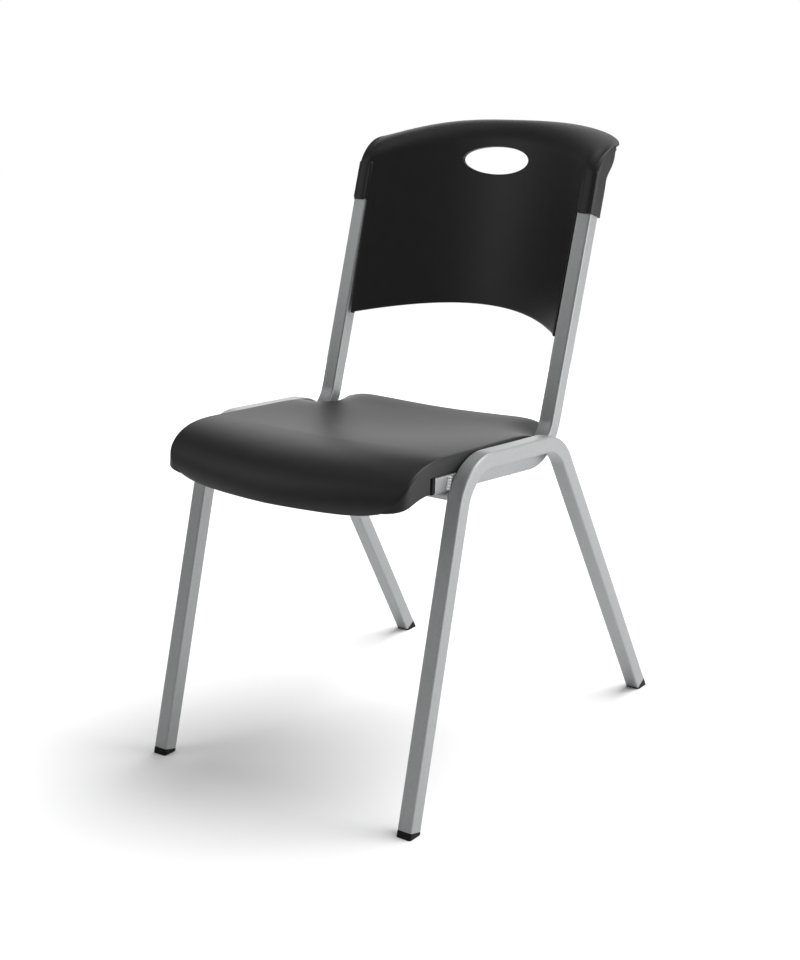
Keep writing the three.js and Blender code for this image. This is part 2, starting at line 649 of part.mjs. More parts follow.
function seatEdge(share) {
  const stepShare = Math.asin((-SEAT_CROWN_REACH - skirtStepY) / (-SEAT_CROWN_REACH - seatNoseY(1))
    * Math.sin(Math.PI / 2 - SEAT_LIP_CUT)) / (Math.PI / 2 - SEAT_LIP_CUT);
  if (share > WALL_STEP_share) {
    const ramp = WALL_STEP_share + WALL_RAMP_share;
    const past = Math.max(0, share - ramp) / (1 - ramp);
    return seatFront(1, THREE.MathUtils.lerp(stepShare, 1, past));
  }
  const y = THREE.MathUtils.lerp(SEAT_TAIL_START, skirtStepY + SKIRT_STEP_RUN, share / WALL_STEP_share);
  if (y >= -SEAT_CROWN_REACH) return vec(seatHalf, y, seatTop(seatHalf, y));
  const sine = (-SEAT_CROWN_REACH - y) / (-SEAT_CROWN_REACH - skirtStepY) * Math.sin(stepShare
    * (Math.PI / 2 - SEAT_LIP_CUT));
  return seatFront(1, Math.asin(sine) / (Math.PI / 2 - SEAT_LIP_CUT));
}

const seatWall = (side) => (u, v) => {
  const down = side > 0 ? u : 1 - u;
  const edge = seatEdge(v);
  const deep = v > WALL_STEP_share + WALL_RAMP_share / 2;
  const low = deep ? skirtFrontZ(edge.y) : seatRailTop(edge.y) + SKIRT_RAIL_GAP;
  return vec(side * edge.x, edge.y, THREE.MathUtils.lerp(edge.z, low, down));
};

// A boss stands on the seat rail and reaches up into the skin
function seatBoss(side, reach) {
  const low = seatRailTop(-reach) + FIT_GAP + SEAT_BOSS_LENGTH * Math.sin(SEAT_RAIL_FALL) / 2;
  const high = seatTop(backCentreX, -reach) - SEAT_SKIN / 2;
  const boss = new THREE.BoxGeometry(SEAT_BOSS_WIDTH, SEAT_BOSS_LENGTH, high - low);
  return boss.translate(side * backCentreAt(-reach), -reach, (high + low) / 2);
}

function seatShell() {
  const parts = [sheet(seatSurface, SEAT_SKIN, 28, 36)];
  const cuts = [];
  for (const side of [-1, 1]) {
    parts.push(sheet(seatWall(side), SEAT_SIDE_WALL, 1, 20));
    const plane = backPlane(side).matrixWorld;
    const fat = TUBE_SIDE + 2 * UPRIGHT_CLEARANCE;
    const path = new BentPath([railFront, backCorner, uprightTop], BEND_RADIUS);
    cuts.push(sweep(roundedSquare(fat, TUBE_CORNER), path).applyMatrix4(plane));
    for (const reach of Object.values(seatScrewReaches)) {
      parts.push(seatBoss(side, reach));
      const tip = vec(0, -reach, seatRailZ(-reach));
      const length = TUBE_SIDE + 2 * SEAT_SCREW_GRIP + 2 * SCREW_CLEARANCE;
      const hole = drilling(SEAT_SCREW_SHANK + 2 * SCREW_CLEARANCE, tip, railUp, length);
      cuts.push(hole.applyMatrix4(plane));
    }
  }
  return named("seat_shell", geometryOf(without(joined(parts), cuts)), SEAT_PLASTIC);
}

// Back shell: depth of the front face behind the axis of the uprights
const backHalf = backCentreAt(uprightTop.y) + half + FIT_GAP + SOCKET_OUTER_WALL;
const lowerHalf = backCentreX - half - BACK_LOWER_GAP;
const arcHalf = backCentreX - BACK_ARC_INSET;
const ARC_SOFTNESS_share = 0.06;
const softCap = (t) => (t + Math.hypot(t, ARC_SOFTNESS_share)) / 2;

function backDepth(x, z) {
  const middle = BACK_DEPTH_LOW
    + (BACK_DEPTH_HIGH - BACK_DEPTH_LOW) * ((z - backLowHeight) / BACK_DEPTH_RISE);
  const past = Math.max(0, Math.abs(x) - backHalf + BACK_EDGE_ROUND);
  const round = BACK_EDGE_ROUND - Math.sqrt(Math.max(0, BACK_EDGE_ROUND ** 2 - past ** 2));
  return -BACK_FRONT_STAND + (middle + BACK_FRONT_STAND) * softCap(1 - (x / arcHalf) ** 2) + round;
}

const backTopZ = (x) => backTopHeight - BACK_TOP_FALL * Math.abs(x / backHalf) ** 2.3;
const backLowZ = (x) => backLowHeight - BACK_LOW_FALL * (x / backHalf) ** 2;
const backTopDepth = (x) => {
  const round = Math.sqrt(Math.max(0, 1 - Math.abs(x / backHalf) ** 4));
  return BACK_CORNER_DEPTH + (BACK_TOP_DEPTH - BACK_CORNER_DEPTH) * round;
};
const rollHeight = (x) => BACK_ROLL_HEIGHT + BACK_ROLL_CORNER * (x / backHalf) ** 2;

// The face rises from the lower edge and rolls back along a quarter of an oval at the top
const BACK_FACE_share = 0.6;

function backSurface(u, v) {
  const x = -crowded(u) * backHalf;
  const start = backTopZ(x) - rollHeight(x);
  if (v <= BACK_FACE_share) {
    const z = THREE.MathUtils.lerp(backLowZ(x), start, v / BACK_FACE_share);
    return vec(x, uprightY(z) + backDepth(x, z), z);
  }
  const angle = ((v - BACK_FACE_share) / (1 - BACK_FACE_share)) * (Math.PI / 2);
  const face = backDepth(x, start);
  const rise = Math.sin(angle) ** 0.87;
  const run = 1 - Math.max(0, Math.cos(angle)) ** 0.87;
  const z = start + rollHeight(x) * rise;
  return vec(x, uprightY(z) + face + (backTopDepth(x) - face) * run, z);
}

// The closed side of the back shell above the notch
function backSideOutline() {
  const points = [];
  const count = 12;
  const low = 1 - BACK_FACE_share;
  const inset = BACK_SKIN / 3;
  const faceHeight = backTopZ(backHalf) - rollHeight(backHalf) - backNotchHeight;
  for (let i = 0; i <= 3; i += 1) {
    const z = backNotchHeight + (faceHeight * i) / 3;
    points.push([uprightY(z) + backDepth(backHalf, z) + inset, z]);
  }
  for (let i = 1; i <= count; i += 1) {
    const point = backSurface(1, BACK_FACE_share + (low * i) / count);
    const angle = (i / count) * (Math.PI / 2);
    points.push([point.y + inset * Math.cos(angle), point.z - inset * Math.sin(angle)]);
  }
  const socketBack = half + FIT_GAP + SOCKET_WALL;
  const shoulder = backTopZ(backHalf) - rollHeight(backHalf) / 2;
  const rearAt = (z) => uprightY(z) + socketBack / Math.cos(BACK_RECLINE);
  const end = points[points.length - 1];
  points.push([end[0] - inset, end[1] - BACK_SKIN * 1.6]);
  points.push([(end[0] + rearAt(shoulder)) / 2, (end[1] - BACK_SKIN + shoulder) / 2]);
  points.push([rearAt(shoulder), shoulder]);
  points.push([rearAt(backNotchHeight), backNotchHeight - socketBack * Math.sin(BACK_RECLINE)]);
  return points;
}

// A socket round the top of an upright, and the channel that the tube stands in
function socketBlock(side) {
  const depth = TUBE_SIDE + 2 * FIT_GAP + 2 * SOCKET_WALL;
  const top = (uprightTop.z + SOCKET_HEADROOM - backNotchHeight) / Math.cos(BACK_RECLINE);
  const block = bar(roundedSquare(depth, TUBE_CORNER + SOCKET_WALL), top);
  block.translate(side * (SOCKET_OUTER_WALL - SOCKET_WALL), 0, 0);
  const foot = vec(0, uprightY(backNotchHeight), backNotchHeight);
  return layAlong(block, foot, uprightUp).applyMatrix4(backPlane(side).matrixWorld);
}

function socketChannel(side) {
  const width = TUBE_SIDE + 2 * FIT_GAP;
  const foot = backCorner.clone();
  const channel = bar(roundedSquare(width, TUBE_CORNER), uprightTop.distanceTo(foot) + FIT_GAP);
  return layAlong(channel, foot, uprightUp).applyMatrix4(backPlane(side).matrixWorld);
}

// A flange along the inner face of each upright stiffens the lower edge of the face
function sideFlange(side) {
  const points = [];
  const count = 6;
  const top = backNotchHeight + SIDE_FLANGE;
  const low = backLowZ(lowerHalf);
  const front = (z) => uprightY(z) + backDepth(lowerHalf, z) + BACK_SKIN / 3;
  for (let i = 0; i <= count; i += 1) {
    const z = THREE.MathUtils.lerp(low, top, i / count);
    points.push([front(z), z]);
  }
  for (let i = count; i >= 0; i -= 1) {
    const z = THREE.MathUtils.lerp(low, top, i / count) - SIDE_FLANGE * Math.sin(BACK_RECLINE);
    points.push([front(z) + SIDE_FLANGE * Math.cos(BACK_RECLINE), z]);
  }
  return sidePlate(points, side > 0 ? lowerHalf - BACK_SIDE_WALL : -lowerHalf, BACK_SIDE_WALL);
}

// The hand hole is an oval bored square to the face, with a short rim behind it
function ovalBar(width, height, length) {
  const outline = new THREE.Shape();
  outline.absellipse(0, 0, width / 2, height / 2, 0, 2 * Math.PI);
  const settings = { depth: length, bevelEnabled: false, curveSegments: 2 * ROUND_STEPS };
  return new THREE.ExtrudeGeometry(outline, settings);
}

const holePlace = vec(0, uprightY(handHoleHeight) + backDepth(0, handHoleHeight), handHoleHeight);
const holeLean = Math.atan2(backSurface(0.5, BACK_FACE_share).y - backSurface(0.5, 0).y,
  backSurface(0.5, BACK_FACE_share).z - backSurface(0.5, 0).z);
const holeAxis = vec(0, Math.cos(holeLean), -Math.sin(holeLean));
const rimSag = backDepth(0, handHoleHeight) - backDepth(HAND_HOLE_WIDTH / 2, handHoleHeight);

function handRim() {
  const wide = HAND_HOLE_WIDTH + 2 * HAND_RIM_WALL;
  const high = HAND_HOLE_HEIGHT + 2 * HAND_RIM_WALL;
  const rim = ovalBar(wide, high, HAND_RIM_DEPTH - BACK_SKIN / 2 + rimSag);
  return layAlong(rim, holePlace.clone().addScaledVector(holeAxis, BACK_SKIN / 2 - rimSag), holeAxis);
}

function handBore() {
  const bore = ovalBar(HAND_HOLE_WIDTH, HAND_HOLE_HEIGHT, HAND_RIM_DEPTH + 2 * rimSag + 2 * CUT_OVERRUN);
  const start = holePlace.clone().addScaledVector(holeAxis, -rimSag - CUT_OVERRUN);
  return layAlong(bore, start, holeAxis);
}

function backShell() {
  const parts = [sheet(backSurface, BACK_SKIN, 36, 28), handRim()];
  const cuts = [handBore()];
  for (const side of [-1, 1]) {
    const wallStart = side > 0 ? backHalf - BACK_SIDE_WALL : -backHalf;
    parts.push(sidePlate(backSideOutline(), wallStart, BACK_SIDE_WALL));
    parts.push(socketBlock(side));
    const beside = new THREE.BoxGeometry(2 * backHalf, 2 * backHalf, backNotchHeight);
    beside.translate(side * (lowerHalf + backHalf), backHalf, backNotchHeight / 2);
    cuts.push(beside);
    const outside = new THREE.BoxGeometry(2 * backHalf, 2 * backHalf, 2 * backTopHeight);
    cuts.push(outside.translate(side * 2 * backHalf, backHalf, backTopHeight));
    cuts.push(socketChannel(side));
    const hole = drilling(BACK_SCREW_SHANK + 2 * SCREW_CLEARANCE, backScrewSeat().addScaledVector(backNormal,
      TUBE_SIDE), backNormal, 2 * TUBE_SIDE);
    cuts.push(hole.applyMatrix4(backPlane(side).matrixWorld));
  }
  const body = without(joined(parts), cuts);
  const flanges = joined([sideFlange(-1), sideFlange(1)]);
  return named("back_shell", geometryOf(body.add(flanges)), BACK_PLASTIC);
}

// A pan-head screw along +Z: the head's bearing face lies at z = 0 and the shank rises from it
function screw(shank, head, headHeight, length) {
  const outline = [
    new THREE.Vector2(0, -headHeight),
    new THREE.Vector2(head * 0.36, -headHeight),
    new THREE.Vector2(head * 0.47, -headHeight * 0.6),
    new THREE.Vector2(head / 2, 0),
    new THREE.Vector2(shank / 2, 0),
    new THREE.Vector2(shank / 2, length - shank),
    new THREE.Vector2(0, length),
  ];
  const body = new THREE.LatheGeometry(outline, ROUND_STEPS).rotateX(Math.PI / 2);
  const slot = new THREE.BoxGeometry(DRIVE_WIDTH, DRIVE_SLOT, 2 * DRIVE_DEPTH).translate(0, 0, -headHeight);
  const cross = new THREE.BoxGeometry(DRIVE_SLOT, DRIVE_WIDTH, 2 * DRIVE_DEPTH).translate(0, 0, -headHeight);
  return geometryOf(without(solidOf(body), [slot, cross]));
}

function seatScrew(side, label, row, reach) {
  const plane = backPlane(side);
  const length = FIT_GAP + TUBE_SIDE + SEAT_SCREW_GRIP;
  const geometry = screw(SEAT_SCREW_SHANK, SEAT_SCREW_HEAD, SEAT_SCREW_HEAD_HEIGHT, length);
  const foot = vec(0, -reach, seatRailZ(-reach)).addScaledVector(railUp, -half - FIT_GAP);
  plane.add(named(`seat_screw_${row}_${label}`, layAlong(geometry, foot, railUp), SCREW_STEEL));
  return plane;
}

function backScrew(side, label) {
  const plane = backPlane(side);
  const bearing = half + SOCKET_WALL + 2 * FIT_GAP;
  const geometry = screw(BACK_SCREW_SHANK, BACK_SCREW_HEAD, BACK_SCREW_HEAD_HEIGHT, bearing + half - FIT_GAP);
  const seat = backScrewSeat().addScaledVector(backNormal, bearing);
  plane.add(named(`back_screw_${label}`, layAlong(geometry, seat, backNormal.clone().negate()), SCREW_STEEL));
  return plane;
}

// The whole chair
const chair = new THREE.Group();
const frontLegUp = vec(0, Math.sin(FRONT_RAKE), Math.cos(FRONT_RAKE));
const rearLegUp = vec(0, -Math.sin(REAR_RAKE), Math.cos(REAR_RAKE));
for (const [side, label] of [[-1, "left"], [1, "right"]]) {
  chair.add(legFrame(side, label));
  chair.add(backFrame(side, label));
  chair.add(footCap(side, `foot_cap_front_${label}`, frontFoot, frontLegUp, FRONT_CAP_DROP));
  chair.add(footCap(side, `foot_cap_rear_${label}`, rearFoot, rearLegUp, REAR_CAP_DROP));
  chair.add(railPlug(side, label));
  chair.add(frontWeld(side, label));
  chair.add(rearWeld(side, label));
  chair.add(ringBead(side, `rod_weld_${label}`, ROD_DIAMETER / 2, rodHalf, rodPlace));
  chair.add(ringBead(side, `tube_weld_${label}`, CROSS_TUBE_DIAMETER / 2, crossTubeHalf, crossTubePlace));
  for (const [row, reach] of Object.entries(seatScrewReaches)) chair.add(seatScrew(side, label, row, reach));
  chair.add(backScrew(side, label));
}
chair.add(frontCrossRod());
chair.add(rearCrossTube());
chair.add(seatShell());
chair.add(backShell());

// The seat's nose and the rear feet reach alike from the origin
const extent = new THREE.Box3().setFromObject(chair);
chair.position.y = -(extent.min.y + extent.max.y) / 2;

export default chair;
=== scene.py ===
"""Looks of the stacking chair: moulded seat and back on a welded frame of bent square tube.

Lengths are metres. +Z is up, -Y is the front, and +X is the right seen from the front.
"""

import logging
import math
from collections.abc import Callable
from dataclasses import dataclass, field
from enum import Enum

import bpy
import numpy as np
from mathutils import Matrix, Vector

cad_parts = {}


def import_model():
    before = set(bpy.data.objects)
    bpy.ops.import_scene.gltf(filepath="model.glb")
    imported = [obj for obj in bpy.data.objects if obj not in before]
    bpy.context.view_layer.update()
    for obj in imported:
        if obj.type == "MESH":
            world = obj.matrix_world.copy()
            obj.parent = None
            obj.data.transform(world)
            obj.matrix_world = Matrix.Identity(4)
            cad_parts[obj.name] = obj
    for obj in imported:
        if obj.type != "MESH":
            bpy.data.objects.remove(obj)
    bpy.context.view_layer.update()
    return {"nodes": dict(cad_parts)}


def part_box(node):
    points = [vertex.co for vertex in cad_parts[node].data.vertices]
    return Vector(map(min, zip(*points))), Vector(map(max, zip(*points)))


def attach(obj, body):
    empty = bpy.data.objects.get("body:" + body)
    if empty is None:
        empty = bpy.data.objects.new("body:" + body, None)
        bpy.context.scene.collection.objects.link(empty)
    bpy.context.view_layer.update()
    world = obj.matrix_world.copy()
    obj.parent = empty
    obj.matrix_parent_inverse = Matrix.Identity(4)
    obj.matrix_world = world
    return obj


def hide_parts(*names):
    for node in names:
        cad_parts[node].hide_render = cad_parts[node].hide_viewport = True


Array = np.ndarray
Triple = tuple[float, float, float]
Pair = tuple[float, float]
Profile = tuple[Pair, ...]

LOG = logging.getLogger("chair")
MM = 0.001
ACROSS = np.array([1.0, 0.0, 0.0])
MIRROR = np.array([-1.0, 1.0, 1.0])
ARC_POINTS = 6
FLAT_POINTS = 9


class Side(Enum):
    """Which half of the chair a piece belongs to; the value is the sign of its x."""

    LEFT = -1
    RIGHT = 1

    @property
    def word(self) -> str:
        """The side's name in lower case."""
        return self.name.lower()


class Slot(Enum):
    """Material slots of the record."""

    FRAME = "frame_paint"
    # The weld finish is lighter than the frame's paint: a painted highlight on the weld beads.
    WELD = "weld_paint"
    CAP = "cap_plastic"
    SEAT = "seat_plastic"
    BACK = "back_plastic"
    SCREW = "screw_steel"


def wired(node: bpy.types.Node, inputs: dict[str, object]) -> bpy.types.Node:
    """Sets a shader node's inputs.

    Args:
        node: the node.
        inputs: by name, an output socket that feeds the input or the value that it holds.

    Returns:
        The same node.
    """
    for name, value in inputs.items():
        if isinstance(value, bpy.types.NodeSocket):
            node.id_data.links.new(value, node.inputs[name])
        else:
            node.inputs[name].default_value = value
    return node


@dataclass(frozen=True)
class Finish:
    """A surface with mottled colour, varied gloss and fine relief on Object coordinates.

    Rough holds the least and the greatest roughness. Grain and wave hold noise cells per metre
    and relief in metres.
    """

    slot: Slot
    dark: Triple
    light: Triple
    rough: Pair
    grain: Pair
    wave: Pair = (18.0, 0.0)
    metallic: float = 0.0
    specular: float = 0.5
    mottle: Pair = (0.3, 0.7)
    slow_octaves: float = 3.0
    fine_octaves: float = 2.0

    def material(self) -> bpy.types.Material:
        """Builds the finish as a node material.

        Returns:
            A principled shader whose colour follows slow noise and whose roughness follows
            fine noise; its normal follows the fine noise laid over a slow ripple.
        """
        made = bpy.data.materials.new(self.slot.value)
        made.use_nodes = True
        nodes = made.node_tree.nodes
        place = nodes.new("ShaderNodeTexCoord").outputs["Object"]
        slow = self._noise(nodes, place, self.wave[0], self.slow_octaves)
        fine = self._noise(nodes, place, self.grain[0], self.fine_octaves)
        colour = wired(nodes.new("ShaderNodeValToRGB"), {"Fac": slow})
        stops = colour.color_ramp.elements
        for stop, at, shade in zip(stops, self.mottle, (self.dark, self.light)):
            stop.position = at
            stop.color = (*shade, 1.0)
        least, most = self.rough
        gloss = {"Value": fine, "To Min": least, "To Max": most}
        relief = {"Strength": 1.0, "Distance": self.grain[1], "Height": fine}
        if self.wave[1] > 0:
            ripple = {"Strength": 1.0, "Distance": self.wave[1], "Height": slow}
            relief["Normal"] = wired(nodes.new("ShaderNodeBump"), ripple).outputs["Normal"]
        wired(nodes["Principled BSDF"], {
            "Metallic": self.metallic,
            "Specular IOR Level": self.specular,
            "Base Color": colour.outputs["Color"],
            "Roughness": wired(nodes.new("ShaderNodeMapRange"), gloss).outputs["Result"],
            "Normal": wired(nodes.new("ShaderNodeBump"), relief).outputs["Normal"],
        })
        return made

    def _noise(
        self, nodes: bpy.types.Nodes, place: bpy.types.NodeSocket, scale: float, octaves: float
    ) -> bpy.types.NodeSocket:
        """Adds a noise texture.

        Args:
            nodes: the material's nodes.
            place: the coordinates that it reads.
            scale: noise cells per metre.
            octaves: its detail.

        Returns:
            The noise's output.
        """
        texture = nodes.new("ShaderNodeTexNoise")
        return wired(texture, {"Vector": place, "Scale": scale, "Detail": octaves}).outputs["Fac"]


SILVER_PAINT = Finish(Slot.FRAME, (0.295, 0.303, 0.306), (0.325, 0.333, 0.336), (0.36, 0.46),
                      grain=(900.0, 0.00003), wave=(260.0, 0.00002), metallic=0.45)
# The weld paint is lighter than the frame's silver paint: a painted highlight that stands in for
# the bright light the beads catch.
WELD_PAINT_WITH_HIGHLIGHT = Finish(Slot.WELD, (0.46, 0.475, 0.47), (0.56, 0.575, 0.57), (0.3, 0.42),
                    grain=(1200.0, 0.00008), wave=(220.0, 0.0004), metallic=0.25)
SEAT_PLASTIC = Finish(Slot.SEAT, (0.0056, 0.0056, 0.006), (0.0078, 0.0078, 0.0083), (0.42, 0.54),
                      grain=(1500.0, 0.00007), wave=(45.0, 0.00006), specular=0.33)
BACK_PLASTIC = Finish(Slot.BACK, (0.0042, 0.0042, 0.0041), (0.006, 0.006, 0.0058), (0.42, 0.54),
                      grain=(1500.0, 0.00007), wave=(45.0, 0.00006), specular=0.37)
CAP_PLASTIC = Finish(Slot.CAP, (0.002, 0.002, 0.002), (0.0042, 0.0042, 0.0042), (0.5, 0.66),
                     grain=(1800.0, 0.00008), specular=0.18)
SCREW_STEEL = Finish(Slot.SCREW, (0.42, 0.42, 0.43), (0.56, 0.56, 0.57), (0.25, 0.4),
                     grain=(900.0, 0.00002), metallic=0.95)
FINISHES = (SILVER_PAINT, WELD_PAINT_WITH_HIGHLIGHT, SEAT_PLASTIC, BACK_PLASTIC, CAP_PLASTIC, SCREW_STEEL)


def smooth(share: Array | float) -> Array | float:
    """Eases from 0 to 1 with level ends: 3t² - 2t³ of the clamped share."""
    t = np.clip(share, 0.0, 1.0)
    return t * t * (3.0 - 2.0 * t)


def bell(t: Array) -> Array:
    """A bell of unit height: exp(-t²)."""
    return np.exp(-t * t)


def unit(vectors: Array) -> Array:
    """Scales vectors along the last axis to length 1."""
    return vectors / np.maximum(np.linalg.norm(vectors, axis=-1, keepdims=True), 1e-12)


def crowded(count: int, crowding: float = 0.7) -> Array:
    """Values from -1 to 1 that stand closer together at both ends: 2u - 1 - c sin(2πu) / π."""
    u = np.linspace(0, 1, count)
    return 2 * u - 1 - crowding * np.sin(2 * math.pi * u) / math.pi


def quadratic(begin: Array, control: Array, end: Array, t: Array | float) -> Array:
    """Places on a quadratic curve: (1 - t)² begin + 2t(1 - t) control + t² end."""
    return (1 - t) ** 2 * begin + 2 * t * (1 - t) * control + t**2 * end


def turned(axis: int, angle: float) -> Array:
    """The matrix of a turn about an axis.

    Args:
        axis: 0 for X, 1 for Y, 2 for Z.
        angle: radians.

    Returns:
        The 3 by 3 matrix.
    """
    spin = np.eye(3)
    i, j = (axis + 1) % 3, (axis + 2) % 3
    spin[i, i] = spin[j, j] = math.cos(angle)
    spin[j, i] = math.sin(angle)
    spin[i, j] = -spin[j, i]
    return spin


def rounded_square(side: float, corner: float) -> Array:
    """The outline of a square with rounded corners, with points along its straights too.

    Args:
        side: the square's side.
        corner: the corners' radius.

    Returns:
        Offsets on its two axes, one point per line.
    """
    edge = side / 2 - corner
    arc = np.linspace(0, math.pi / 2, ARC_POINTS)
    flat = np.linspace(1, -1, FLAT_POINTS)[1:-1] * edge
    rounded = np.stack([edge + corner * np.cos(arc), edge + corner * np.sin(arc)], axis=1)
    straight = np.stack([flat, np.full_like(flat, side / 2)], axis=1)
    quarter = np.concatenate([rounded, straight])
    return np.concatenate([quarter @ turned(2, k * math.pi / 2)[:2, :2].T for k in range(4)])


def ring_at(centre: Array, outline: Array, normal: Array) -> Array:
    """Places of a flat outline whose axes lie along +X and along a normal."""
    return centre + outline[:, :1] * ACROSS + outline[:, 1:] * normal


def turned_bar(start: Array, way: Array, side: float, corner: float, profile: Profile) -> Array:
    """Rings of a rounded square bar that draws in and out along its axis.

    Args:
        start: where the axis starts, in the side plane.
        way: the axis's direction.
        side: the bar's full side.
        corner: its corners' radius.
        profile: for each ring, how far its faces draw in and how far along it lies, in mm.

    Returns:
        Rings by points by 3.
    """
    outline = rounded_square(side, corner)
    normal = np.cross(ACROSS, way)
    return np.array([
        ring_at(start + way * along * MM, outline * (1 - inset * MM / (side / 2)), normal)
        for inset, along in profile
    ])


def loft_faces(rows: int, columns: int) -> Array:
    """Quads that join a stack of closed rings.

    Args:
        rows: number of rings.
        columns: points on each ring.

    Returns:
        Corner numbers, one quad per line; neighbours wrap round each ring.
    """
    i = np.arange(rows - 1)[:, None] * columns
    j = np.arange(columns)[None, :]
    k = (j + 1) % columns
    return np.stack([i + j, i + k, i + columns + k, i + columns + j], axis=-1).reshape(-1, 4)


def strip_cap(columns: int, strip: int) -> list[list[int]]:
    """Faces that close the end ring of a skin.

    Quads join each pair of neighbours on the outer face to the pair behind them on the inner
    face, and one face closes each rim.

    Args:
        columns: points on the ring.
        strip: points along the outer face; as many run back along the inner face.

    Returns:
        Corner numbers of each face, counted on the ring.
    """
    rim = (columns - 2 * strip) // 2
    outer = np.arange(strip)
    inner = strip + rim + (strip - 1 - outer)
    quads = np.stack([outer[:-1], outer[1:], inner[1:], inner[:-1]], axis=1).tolist()
    right = list(range(strip - 1, strip + rim + 1))
    left = list(range(2 * strip + rim - 1, columns)) + [0]
    return quads + [right, left]


def enclosed(points: Array, quads: Array) -> float:
    """Six times the volume inside a closed skin of quads; negative where they face in."""
    a, b, c, d = (points[quads[:, k]] - points.mean(axis=0) for k in range(4))
    return float(np.sum(a * (np.cross(b, c) + np.cross(c, d))))


def shade(mesh: bpy.types.Mesh, sharp: float) -> None:
    """Shades a mesh smooth, save at edges that turn by more than some degrees."""
    mesh.polygons.foreach_set("use_smooth", np.ones(len(mesh.polygons), bool))
    mesh.set_sharp_from_angle(angle=math.radians(sharp))


def added(
    name: str, data: bpy.types.ID, place: Triple = (0.0, 0.0, 0.0), turns: Triple = (0.0, 0.0, 0.0)
) -> bpy.types.Object:
    """Adds an object to the scene.

    Args:
        name: its name.
        data: its mesh, light or camera.
        place: its location.
        turns: its turns about X, Y and Z in radians.

    Returns:
        The object.
    """
    made = bpy.data.objects.new(name, data)
    made.location = place
    made.rotation_euler = turns
    bpy.context.scene.collection.objects.link(made)
    return made


def cut(body: bpy.types.Object, cutter: bpy.types.Object, sharp: float) -> None:
    """Takes one object out of another and drops the cutter.

    Args:
        body: the object that is cut.
        cutter: the closed object that is taken out of it.
        sharp: edges that turn by more than this many degrees shade as edges.
    """
    step = body.modifiers.new("cut", "BOOLEAN")
    step.operation = "DIFFERENCE"
    step.solver = "MANIFOLD"
    step.object = cutter
    bpy.context.view_layer.update()
    graph = bpy.context.evaluated_depsgraph_get()
    finished = bpy.data.meshes.new_from_object(body.evaluated_get(graph))
    body.modifiers.remove(step)
    old = body.data
    body.data = finished
    bpy.data.meshes.remove(old)
    bpy.data.objects.remove(cutter)
    shade(finished, sharp)


@dataclass
class Workshop:
    """Makes objects from arrays, dresses them and seats them on the frame."""

    materials: dict[Slot, bpy.types.Material] = field(default_factory=dict)

    def __post_init__(self) -> None:
        """Builds each finish once."""
        for finish in FINISHES:
            self.materials[finish.slot] = finish.material()

    def ring_stack(
        self, name: str, rings: Array, slot: Slot, nodes: tuple[str, ...] = (),
        sharp: float = 40.0, closed: bool = False, strip: int = 0,
    ) -> bpy.types.Object:
        """Makes a piece from a stack of closed rings and lets it ride on the frame.

        Args:
            name: the object's name.
            rings: places in metres, rings by points by 3.
            slot: the finish that it wears.
            nodes: the CAD nodes that it stands for.
            sharp: edges that turn by more than this many degrees shade as edges.
            closed: whether the last ring joins the first.
            strip: for a skin, the points along its outer face; its ends close as strips.

        Returns:
            The new object.
        """
        rows, columns = len(rings) + closed, rings.shape[1]
        points = rings.reshape(-1, 3)
        quads = loft_faces(rows, columns) % len(points)
        flip = enclosed(points, quads) < 0
        faces = (quads[:, ::-1] if flip else quads).tolist()
        if not closed:
            first = strip_cap(columns, strip) if strip else [list(range(columns))]
            last = [[(rows - 1) * columns + k for k in face] for face in first]
            for face in last if flip else first:
                face.reverse()
            faces += first + last
        mesh = bpy.data.meshes.new(name)
        mesh.from_pydata(points.tolist(), [], faces)
        mesh.validate()
        shade(mesh, sharp)
        mesh.materials.append(self.materials[slot])
        made = added(name, mesh)
        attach(made, "root")
        if nodes:
            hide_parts(*nodes)
        LOG.info("%s: %d faces", name, len(mesh.polygons))
        return made

    def stand_in(
        self, node: str, rings: Array, slot: Slot, sharp: float = 40.0, strip: int = 0
    ) -> bpy.types.Object:
        """Makes the piece that takes a CAD node's place; the rest goes to ring_stack."""
        return self.ring_stack(f"{node}_skin", rings, slot, (node,), sharp, strip=strip)


